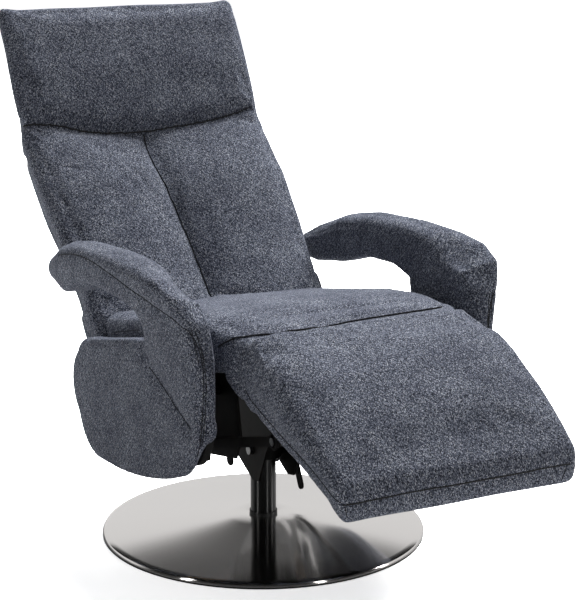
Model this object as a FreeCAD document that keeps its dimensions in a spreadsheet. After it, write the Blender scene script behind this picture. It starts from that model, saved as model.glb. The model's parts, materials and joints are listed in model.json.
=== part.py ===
"""Reclining lounge chair on a spun steel disc: swivelling seat with looped arms, leaning back
with a bending headrest, and a leg rest that two rods raise as the back leans.

Millimetres, +Z up. The chair faces -Y and the origin is the disc's centre on the floor.
The pose is the reclined one. "left" and "right" are the sitter's, so left is +X.
"""
import FreeCAD, Part
import math
import os
import re
import Sketcher
from FreeCAD import Placement, Rotation, Vector

# Driving sizes, one row each.
SIZES = {
    # floor disc and column
    "disc_radius": 315,
    "disc_edge_height": 10,
    "disc_apex_height": 34,
    "disc_flat_radius": 42,
    "disc_sheet": 2,
    "foot_ring_thick": 3,
    "foot_ring_width": 14,
    "ballast_radius": 285,
    "ballast_thick": 6,
    "flange_radius": 60,
    "flange_thick": 5,
    "screw_circle": 42,
    "screw_radius": 4,
    "screw_head": 8,
    "column_radius": 25,
    "column_wall": 2,
    "column_top": 150,
    "trim_ring_wall": 2.2,
    "trim_ring_height": 7,
    "bush_lip": 3,
    "bush_length": 40,
    "spindle_radius": 20,
    "spindle_low": 60,
    "turn_gap": 0.05,
    "slip_gap": 0.3,
    # swivel hub and its two cheeks
    "hub_radius": 36,
    "hub_height": 62,
    "hub_bolt_radius": 5,
    "hub_bolt_reach": 28,
    "hub_bolt_rise": 24,
    "nut_radius": 9,
    "nut_thick": 7,
    "plate_thick": 4,
    "cheek_top": 116,
    "cheek_front": 172,
    "cheek_rear": 134,
    "cheek_side": 150,
    "cheek_toe_depth": 340,
    "cheek_toe_front": 10,
    "cheek_toe_rear": 35,
    "cheek_waist_depth": 280,
    "cheek_waist_front": 35,
    "cheek_waist_rear": 111,
    "stop_link_length": 74,
    "stop_link_ahead": 36,
    "stop_link_radius": 9,
    "stop_pin_radius": 4,
    "stop_pin_length": 18,
    "tube_radius": 12,
    "tube_wall": 2,
    "tube_front": 150,
    "tube_rear": 120,
    # side plates below the rails, with lugs along their low edge
    "side_plate_front": 228,
    "side_plate_rear": 150,
    "side_plate_neck": 134,
    "side_plate_grip": 18,
    "side_plate_chin": 222,
    "side_plate_low": 258,
    "side_plate_toe_front": 200,
    "side_plate_toe_rear": 55,
    "side_plate_tail": 168,
    "lug_front": 172,
    "lug_rear": 74,
    "lug_root": 250,
    "lug_drop": 12,
    "lug_radius": 11,
    # seat
    "seat_level": 457.5,
    "seat_slope": 11.5,
    "seat_half": 250,
    "seat_thick": 95,
    "seat_rear": 215,
    "seat_seam": 290,
    "seam_half": 230,
    "seam_drop": 18,
    "seat_crown": 8,
    "cushion_corner": 22,
    "rail_width": 25,
    "rail_height": 25,
    "rail_outer": 206,
    "rail_front": 262,
    "rail_rear": 165,
    "bar_depth": 30,
    "web_thick": 1.7,
    "web_width": 60,
    "web_pitch": 95,
    # leg rest
    "leg_pivot_ahead": 395,
    "leg_pivot_height": 432,
    "leg_drop": 23.5,
    "leg_half": 222,
    "leg_roll": 62,
    "leg_length": 348,
    "leg_crown_height": 76,
    "leg_crown": 2,
    "leg_board_start": 95,
    "leg_board_end": 300,
    "leg_board_drop": 10,
    "knee_drop": 27,
    "knee_depth": 150,
    "leg_lever": 108,
    "leg_lever_lag": 26,
    "leg_fold": 65,
    "leg_raise": 13,
    "board_thick": 10,
    "board_lead": 10,
    # back
    "back_pivot_behind": 245,
    "back_pivot_height": 365,
    "back_lean": 47,
    "back_half_low": 250,
    "back_half": 268,
    "back_roll": 61,
    "back_face": 74,
    "back_rear": 30,
    "back_board_cover": 2,
    "back_board_stop": 30,
    "back_crown": 14,
    "back_tuck": 14,
    "back_bracket_length": 230,
    "back_lever": 220,
    "back_lever_lag": 12,
    "back_rise": 30,
    "back_yield": 6,
    "link_half": 12,
    # headrest
    "head_at": 456,
    "head_out": 33,
    "head_lean": 30.5,
    "head_length": 305,
    "head_roll": 28,
    "head_face": 42,
    "head_rear": 64,
    "head_crown": 4,
    "head_board_thick": 5,
    "head_board_stop": 40,
    "head_forward": 15,
    "head_flat": 18,
    # pivots and rods
    "pin_radius": 6,
    "small_pin_radius": 4,
    "pin_head_step": 3,
    "pin_head_thick": 2,
    "rod_half": 9,
    "rod_eye": 15,
    "eye_slot_half": 7.5,
    "eye_slack": 2.2,
    "eye_slot_shift": 1.6,
    "eye_slot_rise": 0.5,
    "limit_margin": 2,
    "soft_gap": 1,
    "head_hinge_x": 150,
    "head_hinge_length": 110,
    # side panels
    "panel_gap": 12,
    "panel_thick": 38,
    "panel_board": 14,
    "panel_rim": 14,
    "panel_round": 7,
    "arm_corner": 26,
    "arm_crown": 4,
}

# Pad profiles. Each row stands at a share of the pad's length, and its other columns are shares of
# the pad's own sizes, but for an inset of the sides, which is in millimetres.
LEG_PROFILE = (
    # length, crown height above, roll below, inset
    (0.12, 0.96, 0.90, 0),
    (0.27, 1.00, 0.78, 0),
    (0.52, 0.88, 0.57, 0),
    (0.74, 0.67, 0.43, 0),
    (0.91, 0.48, 0.29, 0),
    (0.97, 0.27, 0.22, 1),
    (1.00, 0.05, 0.17, 4),
)
BACK_PROFILE = (
    # length, way from the low width to the full one, way from the roll's radius to the full face
    (0.22, 0.22, 0.15),
    (0.45, 0.67, 0.50),
    (0.70, 1.00, 1.00),
    (0.90, 1.00, 0.50),
)
HEAD_PROFILE = (
    # length, face, rear, inset
    (0.20, 0.83, 0.75, 0),
    (0.50, 1.00, 0.50, 0),
    (0.85, 0.90, 0.35, 0),
    (0.97, 0.70, 0.20, 2),
    (1.00, 0.49, 0.13, 5),
)
SEAT_PROFILE = (
    # length, way from the full width to the seam's, drop at the seam
    (0.45, 0.00, 0.00),
    (0.80, 0.67, 0.35),
    (1.00, 1.00, 1.00),
)
SEAT_REAR_INSET = 4
SEAT_REAR_RUN = 0.85
# How round a section's corners may be, as shares of its thickness, of the front corner or of the tuck.
FRONT_ROUND_LIMIT = 0.45
REAR_ROUND_LIMIT = 0.3
REAR_ROUND_SHARE = 0.6
TUCK_ROUND_SHARE = 0.5
ARM_ROUND_LIMIT = 0.4
TOUCH = 0.01

# Where each section of the sitter's left arm stands, from its rear tip to its foot: its outer edge
# and its underside in Y and Z, and in X, from the side panel's inner face, the arm's inner face, its
# outer face and that at the underside.
ARM_FIELDS = ("edge_y", "edge_z", "under_y", "under_z", "inner", "outer", "under_outer")
ARM_STATIONS = (
    (376, 500, 371, 472, 20, 36, 34),
    (354, 522, 346, 459, 14, 58, 52),
    (290, 543, 285, 457, 11, 76, 70),
    (200, 568, 190, 473, 10, 87, 81),
    (90, 589, 80, 502, 10, 93, 86),
    (-50, 598, -20, 508, 10, 94, 84),
    (-170, 598, -98, 495, 8, 93, 72),
    (-258, 590, -110, 466, 4, 87, 52),
    (-322, 570, -112, 430, 0, 75, 39),
    (-348, 530, -150, 410, 0, 59, 38),
    (-352, 470, -205, 385, 0, 46, 38),
    (-349, 410, -255, 362, 0, 39, 38),
    (-346, 352, -310, 335, 0, 38, 38),
)
# Bends of the side panel's outline behind the arm's foot, in Y and Z, each arc by way of its middle.
PANEL_FIELDS = ("y", "z")
PANEL_BENDS = (
    (-332, 283),
    (-262, 235),
    (-90, 186),
    (90, 165),
    (160, 180),
    (202, 232),
    (233, 290),
    (204, 351),
    (178, 378),
    (137, 389),
    (0, 409),
)
for table, fields, rows in (("arm", ARM_FIELDS, ARM_STATIONS), ("panel", PANEL_FIELDS, PANEL_BENDS)):
    for number, row in enumerate(rows, 1):
        for field, size in zip(fields, row):
            SIZES[f"{table}_{number}_{field}"] = size

doc = FreeCAD.newDocument("recliner")
sheet = doc.addObject("Spreadsheet::Sheet", "Sizes")
for row, (name, size) in enumerate(SIZES.items(), 1):
    sheet.set(f"A{row}", name)
    sheet.set(f"B{row}", str(size))
    sheet.setAlias(f"B{row}", name)
doc.recompute()
probe = doc.addObject("App::FeaturePython", "probe")
nodes = {}


def bind(text):
    """Put the sheet's name before each size that an expression names."""
    return re.sub(r"[a-z_]\w*", lambda word: f"Sizes.{word[0]}" if word[0] in SIZES else word[0], text)


def value(text):
    return float(probe.evalExpression(bind(text)))


# Local frames: where one sits in Y and Z, and its turn about X.
LEVEL = ("0", "0", "0")
SEAT = ("0", "seat_level", "-seat_slope")
BACK = ("back_pivot_behind", "back_pivot_height", "-back_lean")
BACK_LEVER = ("back_pivot_behind", "back_pivot_height", "-back_lever_lag")
HEAD = (
    "(back_pivot_behind + head_at * sin(back_lean) - head_out * cos(back_lean))",
    "(back_pivot_height + head_at * cos(back_lean) + head_out * sin(back_lean))",
    "-head_lean",
)
LEG = ("-leg_pivot_ahead", "leg_pivot_height", "leg_drop")
LEG_LEVER = ("-leg_pivot_ahead", "leg_pivot_height", "-leg_lever_lag")
ROD_REAR = (
    "(back_pivot_behind - back_lever * sin(back_lever_lag))",
    "(back_pivot_height - back_lever * cos(back_lever_lag))",
)
ROD_FRONT = (
    "(-leg_pivot_ahead - leg_lever * sin(leg_lever_lag))",
    "(leg_pivot_height - leg_lever * cos(leg_lever_lag))",
)
PANEL_FACE = "(seat_half + panel_gap)"
SIDES = (("left", 1), ("right", -1))


def in_frame(frame, across, up):
    """World Y and Z of a point given in a local frame."""
    at_y, at_z, turn = frame
    return (
        f"{at_y} + ({across}) * cos({turn}) - ({up}) * sin({turn})",
        f"{at_z} + ({across}) * sin({turn}) + ({up}) * cos({turn})",
    )


def seen_from(frame, point):
    """A world point's Y and Z, written in a local frame."""
    at_y, at_z, turn = frame
    away_y = f"({point[0]} - ({at_y}))"
    away_z = f"({point[1]} - ({at_z}))"
    return (
        f"{away_y} * cos({turn}) + {away_z} * sin({turn})",
        f"{away_z} * cos({turn}) - {away_y} * sin({turn})",
    )


def put(item, frame, along_x="0", across="0", up="0"):
    """Place an object in a local frame, its turn about X following the frame's."""
    at_y, at_z = in_frame(frame, across, up)
    for field, text in (
        ("Base.x", along_x),
        ("Base.y", at_y),
        ("Base.z", at_z),
        ("Rotation.Axis.x", "1"),
        ("Rotation.Axis.y", "0"),
        ("Rotation.Axis.z", "0"),
        ("Rotation.Angle", frame[2]),
    ):
        item.setExpression(f"Placement.{field}", bind(text))


def lay_along_x(item, frame, along_x, across, up):
    """Place an object so that its own Z lies along X, through a point of a local frame."""
    at_y, at_z = in_frame(frame, across, up)
    for field, text in (
        ("Base.x", along_x),
        ("Base.y", at_y),
        ("Base.z", at_z),
        ("Rotation.Axis.x", "0"),
        ("Rotation.Axis.y", "1"),
        ("Rotation.Axis.z", "0"),
        ("Rotation.Angle", "90"),
    ):
        item.setExpression(f"Placement.{field}", bind(text))


def near_x(side, near, thick):
    """Lower X of a slab whose inner face stands `near` from the middle on one side."""
    return f"{near}" if side > 0 else f"-({near}) - ({thick})"


def keep(label, item):
    """Name a finished sub-part."""
    item.Label = label
    nodes[label] = item
    return item


def sketch_on(body, role):
    sketch = body.newObject("Sketcher::SketchObject", f"{body.Name}_outline")
    plane = next(item for item in body.Origin.OriginFeatures if item.Role == role)
    sketch.AttachmentSupport = [(plane, "")]
    sketch.MapMode = "FlatFace"
    return sketch


def hold_point(sketch, geometry, corner, point):
    """Tie a sketch point to two expressions, measured from the sketch's origin."""
    for kind, text, axis in (("DistanceX", point[0], -2), ("DistanceY", point[1], -1)):
        amount = value(text)
        if text == "0":
            sketch.addConstraint(Sketcher.Constraint("PointOnObject", geometry, corner, axis))
        else:
            number = sketch.addConstraint(Sketcher.Constraint(kind, -1, 1, geometry, corner, amount))
            sketch.setExpression(f"Constraints[{number}]", bind(text))


def draw_polygon(sketch, points):
    places = [Vector(value(across), value(up), 0) for across, up in points]
    first = sketch.GeometryCount
    count = len(places)
    for number in range(count):
        sketch.addGeometry(Part.LineSegment(places[number], places[(number + 1) % count]))
    for number in range(count):
        following = first + (number + 1) % count
        sketch.addConstraint(Sketcher.Constraint("Coincident", first + number, 2, following, 1))
    for number, point in enumerate(points):
        hold_point(sketch, first + number, 1, point)


def draw_circle(sketch, centre, radius):
    place = Vector(value(centre[0]), value(centre[1]), 0)
    number = sketch.addGeometry(Part.Circle(place, Vector(0, 0, 1), value(radius)))
    limit = sketch.addConstraint(Sketcher.Constraint("Radius", number, value(radius)))
    sketch.setExpression(f"Constraints[{limit}]", bind(radius))
    hold_point(sketch, number, 3, centre)


def draw_slot(sketch, start, end, radius):
    """Two half circles joined by tangent lines."""
    centres = [Vector(value(point[0]), value(point[1]), 0) for point in (start, end)]
    away = centres[1] - centres[0]
    heading = Vector(1, 0, 0).getAngle(away) * (1 if away.y >= 0 else -1)
    quarter = Rotation(Vector(0, 0, 1), 90).multVec(away.normalize())
    reach = value(radius)
    right_angle = Vector(1, 0, 0).getAngle(Vector(0, 1, 0))
    arcs = []
    for centre, first_turn in ((centres[0], 1), (centres[1], -1)):
        circle = Part.Circle(centre, Vector(0, 0, 1), reach)
        low = heading + first_turn * right_angle
        arcs.append(sketch.addGeometry(Part.ArcOfCircle(circle, low, low + 2 * right_angle)))
    upper = [centre + quarter * reach for centre in centres]
    lower = [centre - quarter * reach for centre in centres]
    near, far = arcs
    upper_line = sketch.addGeometry(Part.LineSegment(upper[1], upper[0]))
    lower_line = sketch.addGeometry(Part.LineSegment(lower[0], lower[1]))
    for line, line_end, arc, arc_end in (
        (upper_line, 2, near, 1),
        (near, 2, lower_line, 1),
        (lower_line, 2, far, 1),
        (far, 2, upper_line, 1),
    ):
        sketch.addConstraint(Sketcher.Constraint("Tangent", line, line_end, arc, arc_end))
    limit = sketch.addConstraint(Sketcher.Constraint("Radius", near, reach))
    sketch.setExpression(f"Constraints[{limit}]", bind(radius))
    hold_point(sketch, near, 3, start)
    hold_point(sketch, far, 3, end)


def padded_body(name, frame, along_x, thick, draw):
    """A plate in the frame's YZ plane: draw() fills the sketch, which is padded towards +X."""
    body = doc.addObject("PartDesign::Body", name)
    sketch = sketch_on(body, "YZ_Plane")
    draw(sketch)
    pad = body.newObject("PartDesign::Pad", f"{name}_pad")
    pad.Profile = sketch
    pad.setExpression("Length", bind(thick))
    put(body, frame, along_x)
    return body


def link_plate(name, frame, side, near, thick, start, end, radius, holes=()):
    def draw(sketch):
        draw_slot(sketch, start, end, radius)
        for centre, hole in holes:
            draw_circle(sketch, centre, hole)
    return padded_body(name, frame, near_x(side, near, thick), thick, draw)


def turned(name, profile):
    """A ring or shaft about Z from an outline of radius and height."""
    body = doc.addObject("PartDesign::Body", name)
    sketch = sketch_on(body, "XZ_Plane")
    draw_polygon(sketch, profile)
    spin = body.newObject("PartDesign::Revolution", f"{name}_turn")
    spin.Profile = sketch
    spin.ReferenceAxis = (sketch, ["V_Axis"])
    return body


def ring(name, inner, outer, low, high):
    return turned(name, ((inner, low), (outer, low), (outer, high), (inner, high)))


def bar_x(name, radius, frame, low_x, high_x, across, up):
    """A round bar along X."""
    bar = doc.addObject("Part::Cylinder", name)
    bar.setExpression("Radius", bind(radius))
    bar.setExpression("Height", bind(f"({high_x}) - ({low_x})"))
    lay_along_x(bar, frame, low_x, across, up)
    return bar


def block(name, frame, low_x, high_x, near, far, low, high):
    """A rectangular block in a local frame."""
    box = doc.addObject("Part::Box", name)
    box.setExpression("Length", bind(f"({high_x}) - ({low_x})"))
    box.setExpression("Width", bind(f"({far}) - ({near})"))
    box.setExpression("Height", bind(f"({high}) - ({low})"))
    put(box, frame, low_x, near, low)
    return box


def joined(name, *items):
    whole = doc.addObject("Part::MultiFuse", name)
    whole.Shapes = list(items)
    return whole


def cut(name, base, tool):
    rest = doc.addObject("Part::Cut", name)
    rest.Base = base
    rest.Tool = tool
    return rest


def group(name, items):
    """Identical separate pieces that share a node."""
    bundle = doc.addObject("Part::Compound", name)
    bundle.Links = list(items)
    return bundle


def soft(label, shape):
    piece = doc.addObject("Part::Feature", label)
    piece.Shape = shape
    return keep(label, piece)


def headed_pin(name, radius, frame, side, near, length, across, up):
    """A pin along X with a low round head on its outer end."""
    outer = f"({near}) + ({length})"
    head_end = f"{outer} + pin_head_thick"
    shank_span = (near, outer) if side > 0 else (f"-({outer})", f"-({near})")
    head_span = (outer, head_end) if side > 0 else (f"-({head_end})", f"-({outer})")
    shank = bar_x(f"{name}_shank", radius, frame, *shank_span, across, up)
    head = bar_x(f"{name}_head", f"{radius} + pin_head_step", frame, *head_span, across, up)
    return joined(name, shank, head)


# Floor disc: a low spun cone on a heavy plate and a soft ring.
ballast_low = "foot_ring_thick"
ballast_high = "foot_ring_thick + ballast_thick"
keep("base_disc", turned("base_disc", (
    ("disc_radius", "foot_ring_thick"),
    ("disc_radius", "disc_edge_height"),
    ("disc_flat_radius", "disc_apex_height"),
    ("column_radius + slip_gap", "disc_apex_height"),
    ("column_radius + slip_gap", "disc_apex_height - disc_sheet"),
    ("disc_flat_radius", "disc_apex_height - disc_sheet"),
    ("disc_radius - disc_sheet", "disc_edge_height - disc_sheet"),
    ("disc_radius - disc_sheet", "foot_ring_thick"),
)))
keep("base_foot_ring", ring(
    "base_foot_ring", "disc_radius - foot_ring_width", "disc_radius", "0", "foot_ring_thick"))
keep("base_ballast", turned("base_ballast", (
    ("0", ballast_low),
    ("disc_radius - foot_ring_width", ballast_low),
    ("disc_radius - foot_ring_width", f"{ballast_low} + disc_sheet"),
    ("ballast_radius", ballast_high),
    ("0", ballast_high),
)))
flange_high = f"{ballast_high} + flange_thick"
keep("column_flange", ring("column_flange", "column_radius", "flange_radius", ballast_high, flange_high))
keep("column_tube", ring(
    "column_tube", "column_radius - column_wall", "column_radius", ballast_high, "column_top"))
keep("column_trim_ring", ring(
    "column_trim_ring", "column_radius + slip_gap", "column_radius + trim_ring_wall",
    "disc_apex_height", "disc_apex_height + trim_ring_height"))
keep("column_bush", turned("column_bush", (
    ("spindle_radius + turn_gap", "column_top - bush_length"),
    ("column_radius - column_wall", "column_top - bush_length"),
    ("column_radius - column_wall", "column_top"),
    ("column_radius", "column_top"),
    ("column_radius", "column_top + bush_lip"),
    ("spindle_radius + turn_gap", "column_top + bush_lip"),
)))
flange_screws = []
for number, (step_x, step_y) in enumerate(((1, 0), (0, 1), (-1, 0), (0, -1)), 1):
    screw = doc.addObject("Part::Cylinder", f"flange_screw_{number}")
    screw.setExpression("Radius", bind("screw_head"))
    screw.setExpression("Height", bind("screw_radius"))
    screw.setExpression("Placement.Base.x", bind(f"screw_circle * {step_x}"))
    screw.setExpression("Placement.Base.y", bind(f"screw_circle * {step_y}"))
    screw.setExpression("Placement.Base.z", bind(flange_high))
    flange_screws.append(screw)
keep("flange_screws", group("flange_screws", flange_screws))

# Swivel spindle and hub, held between two cheeks by bolts along X.
hub_low = "column_top + bush_lip + slip_gap"
hub_high = f"{hub_low} + hub_height"
keep("swivel_spindle", ring("swivel_spindle", "0", "spindle_radius", "spindle_low", hub_high))
hub_blank = ring("hub_blank", "spindle_radius", "hub_radius", hub_low, hub_high)
bolt_height = f"{hub_low} + hub_bolt_rise"
cheek_outer = "hub_radius + plate_thick"
hub_bolts = []
bolt_bores = []
for number, step in enumerate((1, -1), 1):
    across = f"hub_bolt_reach * {step}"
    bore = bar_x(f"bolt_bore_{number}", "hub_bolt_radius", LEVEL, f"-({cheek_outer})", cheek_outer,
                 across, bolt_height)
    shank = bar_x(f"hub_bolt_shank_{number}", "hub_bolt_radius", LEVEL, f"-({cheek_outer})",
                  cheek_outer, across, bolt_height)
    ends = [shank]
    for side_name, side in SIDES:
        span = (cheek_outer, f"{cheek_outer} + nut_thick")
        span = span if side > 0 else (f"-({span[1]})", f"-({span[0]})")
        ends.append(bar_x(f"hub_nut_{side_name}_{number}", "nut_radius", LEVEL, *span, across,
                          bolt_height))
    hub_bolts.append(joined(f"hub_bolt_{number}", *ends))
    bolt_bores.append(bore)
keep("swivel_hub", cut("swivel_hub", hub_blank, group("hub_bores", bolt_bores)))
keep("hub_bolts", group("hub_bolts", hub_bolts))

# Cross tubes under the seat rails.
rail_top = "-(seat_thick + slip_gap + web_thick)"
rail_low = f"{rail_top} - rail_height"
tube_level = f"{rail_low} - tube_radius"
for label, across in (("cross_tube_front", "-tube_front"), ("cross_tube_rear", "tube_rear")):
    bar = bar_x(f"{label}_bar", "tube_radius", SEAT, f"-{PANEL_FACE}", PANEL_FACE, across, tube_level)
    core = bar_x(f"{label}_core", "tube_radius - tube_wall", SEAT, f"-{PANEL_FACE}", PANEL_FACE, across,
                 tube_level)
    keep(label, cut(label, bar, core))


def draw_cheek(sketch):
    draw_polygon(sketch, (
        ("-cheek_front", "-cheek_top"),
        ("-cheek_front", "-cheek_side"),
        ("-cheek_waist_front", "-cheek_waist_depth"),
        ("cheek_toe_front", "-cheek_toe_depth"),
        ("cheek_toe_rear", "-cheek_toe_depth"),
        ("cheek_waist_rear", "-cheek_waist_depth"),
        ("cheek_rear", "-cheek_side"),
        ("cheek_rear", "-cheek_top"),
    ))
    draw_circle(sketch, ("-tube_front", tube_level), "tube_radius")
    draw_circle(sketch, ("tube_rear", tube_level), "tube_radius")
    for step in (1, -1):
        bolt = seen_from(SEAT, (f"hub_bolt_reach * {step}", bolt_height))
        draw_circle(sketch, bolt, "hub_bolt_radius")


for side_name, side in SIDES:
    label = f"bracket_cheek_{side_name}"
    keep(label, padded_body(label, SEAT, near_x(side, "hub_radius", "plate_thick"), "plate_thick",
                            draw_cheek))
keep("stop_link", link_plate(
    "stop_link", LEVEL, 1, f"{cheek_outer} + nut_thick", "plate_thick",
    ("-hub_bolt_reach", bolt_height),
    ("-hub_bolt_reach - stop_link_ahead", f"{bolt_height} - stop_link_length"),
    "stop_link_radius"))
stop_pin = doc.addObject("Part::Cylinder", "stop_pin")
stop_pin.setExpression("Radius", bind("stop_pin_radius"))
stop_pin.setExpression("Height", bind("stop_pin_length"))
stop_pin.setExpression("Placement.Base.x", bind("column_radius + soft_gap + stop_pin_radius"))
stop_pin.setExpression("Placement.Base.z", bind(f"{hub_low} - stop_pin_length"))
keep("stop_pin", stop_pin)

# Seat frame: two rails, two bars and a deck of straps.
for side_name, side in SIDES:
    label = f"seat_rail_{side_name}"
    low_x = near_x(side, "rail_outer - rail_width", "rail_width")
    keep(label, block(label, SEAT, low_x, f"{low_x} + rail_width", "-rail_front", "rail_rear",
                      rail_low, rail_top))
bar_half = "rail_outer - rail_width"
keep("seat_bar_front", block("seat_bar_front", SEAT, f"-({bar_half})", bar_half,
                             "-rail_front", "-rail_front + bar_depth", rail_low, rail_top))
keep("seat_bar_rear", block("seat_bar_rear", SEAT, f"-({bar_half})", bar_half,
                            "rail_rear - bar_depth", "rail_rear", rail_low, rail_top))
for number, step in enumerate((-1, 0, 1), 1):
    label = f"seat_strap_{number}"
    keep(label, block(label, SEAT, "-rail_outer", "rail_outer",
                      f"web_pitch * {step} - rail_front / 2 + rail_rear / 2 - web_width / 2",
                      f"web_pitch * {step} - rail_front / 2 + rail_rear / 2 + web_width / 2",
                      rail_top, f"{rail_top} + web_thick"))

# Side plates: on the rails' inner faces, with the cross tubes through them.
plate_grip = f"{rail_low} + side_plate_grip"


def draw_side_plate(sketch):
    draw_polygon(sketch, (
        ("-side_plate_front", plate_grip),
        ("-side_plate_front", "-side_plate_chin"),
        ("-side_plate_toe_front", "-side_plate_low"),
        ("-side_plate_toe_rear", "-side_plate_low"),
        ("side_plate_rear", "-side_plate_tail"),
        ("side_plate_rear", rail_low),
        ("side_plate_neck", rail_low),
        ("side_plate_neck", plate_grip),
    ))


for side_name, side in SIDES:
    label = f"side_plate_{side_name}"
    plate_x = near_x(side, "rail_outer - rail_width - plate_thick", "plate_thick")
    blank = [padded_body(f"{label}_blank", SEAT, plate_x, "plate_thick", draw_side_plate)]
    for place in ("lug_front", "lug_rear"):
        blank.append(link_plate(f"{label}_{place}", SEAT, side, "rail_outer - rail_width - plate_thick",
                                "plate_thick", (f"-{place}", "-lug_root"),
                                (f"-{place}", "-lug_root - lug_drop"), "lug_radius"))
    bores = [bar_x(f"{label}_bore_{number}", "tube_radius", SEAT, plate_x, f"{plate_x} + plate_thick",
                   across, tube_level)
             for number, across in enumerate(("-tube_front", "tube_rear"), 1)]
    keep(label, cut(label, joined(f"{label}_whole", *blank), group(f"{label}_bores", bores)))

# Pivot plates: the back's on the rear tube's ends, the leg rest's on the rails' outer faces.
back_plate_x = "seat_half + 2 * soft_gap"
bracket_x = "back_half_low - 2 * soft_gap - 2 * plate_thick"
back_in_seat = seen_from(SEAT, (BACK[0], BACK[1]))
leg_in_seat = seen_from(SEAT, (LEG[0], LEG[1]))
plate_root = ("-rail_front + 2 * bar_depth", f"{rail_low} + rail_height / 2")
leg_bracket_x = "rail_outer - 2 * plate_thick"
rod_x = "rail_outer - plate_thick + soft_gap"
lever_x = f"{rod_x} + plate_thick + soft_gap"
for side_name, side in SIDES:
    label = f"back_pivot_plate_{side_name}"
    rear_root = ("tube_rear", tube_level)
    keep(label, link_plate(
        label, SEAT, side, back_plate_x, "plate_thick", rear_root, back_in_seat, "2 * link_half",
        ((rear_root, "tube_radius"), (back_in_seat, "pin_radius"))))
    label = f"leg_pivot_plate_{side_name}"
    keep(label, link_plate(
        label, SEAT, side, "rail_outer", "plate_thick", plate_root, leg_in_seat, "link_half",
        ((leg_in_seat, "pin_radius"),)))
pin_reach = f"{back_plate_x} + plate_thick - ({bracket_x})"
keep("back_pivot_pins", group("back_pivot_pins", [
    headed_pin(f"back_pin_{name}", "pin_radius", BACK, side, bracket_x, pin_reach, "0", "0")
    for name, side in SIDES]))
leg_pin_reach = f"rail_outer + plate_thick - ({leg_bracket_x})"
keep("leg_pivot_pins", group("leg_pivot_pins", [
    headed_pin(f"leg_pin_{name}", "pin_radius", LEG, side, leg_bracket_x, leg_pin_reach, "0", "0")
    for name, side in SIDES]))

# Back frame: side brackets, a cross tube below them, two levers and a panel.
running_hole = "pin_radius + turn_gap"
tube_drop = "back_roll + link_half + soft_gap"
for side_name, side in SIDES:
    upper = link_plate(f"back_bracket_upper_{side_name}", BACK, side, bracket_x, "plate_thick",
                       ("0", "0"), ("link_half", "back_bracket_length"), "link_half")
    lower = link_plate(f"back_bracket_lower_{side_name}", BACK_LEVER, side, bracket_x, "plate_thick",
                       ("0", "0"), ("0", f"-({tube_drop})"), "link_half")
    whole = joined(f"back_bracket_blank_{side_name}", upper, lower)
    bore = bar_x(f"back_bore_{side_name}", running_hole, BACK,
                 near_x(side, f"{bracket_x} - soft_gap", "plate_thick + 2 * soft_gap"),
                 f"{near_x(side, f'{bracket_x} - soft_gap', 'plate_thick + 2 * soft_gap')}"
                 " + plate_thick + 2 * soft_gap", "0", "0")
    label = f"back_bracket_{side_name}"
    keep(label, cut(label, whole, bore))
    label = f"back_lever_{side_name}"
    keep(label, link_plate(
        label, BACK_LEVER, side, lever_x, "plate_thick", ("0", f"-({tube_drop})"), ("0", "-back_lever"),
        "link_half", ((("0", f"-({tube_drop})"), "pin_radius"), (("0", "-back_lever"), "small_pin_radius"))))
keep("back_cross_tube", bar_x("back_cross_tube", "pin_radius", BACK_LEVER,
                              f"-({bracket_x})", bracket_x, "0", f"-({tube_drop})"))
keep("lever_pins", group("lever_pins", [
    headed_pin(f"lever_pin_{name}", "small_pin_radius", BACK_LEVER, side, f"{rod_x} - soft_gap",
               "2 * plate_thick + 2 * soft_gap", "0", "-back_lever")
    for name, side in SIDES]))

# Leg rest frame: a bar along the pad and a lever below the pivot, in one plate on each side.
leg_arm_end = ("-leg_board_end + bar_depth", "-leg_board_drop")
for side_name, side in SIDES:
    arm = link_plate(f"leg_arm_{side_name}", LEG, side, leg_bracket_x, "plate_thick",
                     ("0", "0"), leg_arm_end, "link_half")
    lever = link_plate(f"leg_lever_{side_name}", LEG_LEVER, side, leg_bracket_x, "plate_thick",
                       ("0", "0"), ("0", "-leg_lever"), "link_half")
    whole = joined(f"leg_bracket_blank_{side_name}", arm, lever)
    low_x = near_x(side, leg_bracket_x, "plate_thick")
    pivot_bore = bar_x(f"leg_bore_{side_name}", running_hole, LEG, low_x, f"{low_x} + plate_thick",
                       "0", "0")
    pin_bore = bar_x(f"leg_pin_bore_{side_name}", "small_pin_radius", LEG_LEVER, low_x,
                     f"{low_x} + plate_thick", "0", "-leg_lever")
    label = f"leg_bracket_{side_name}"
    keep(label, cut(label, whole, group(f"leg_bores_{side_name}", [pivot_bore, pin_bore])))
keep("leg_lever_pins", group("leg_lever_pins", [
    headed_pin(f"leg_lever_pin_{name}", "small_pin_radius", LEG_LEVER, side, leg_bracket_x,
               "2 * plate_thick + 2 * soft_gap", "0", "-leg_lever")
    for name, side in SIDES]))

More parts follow.
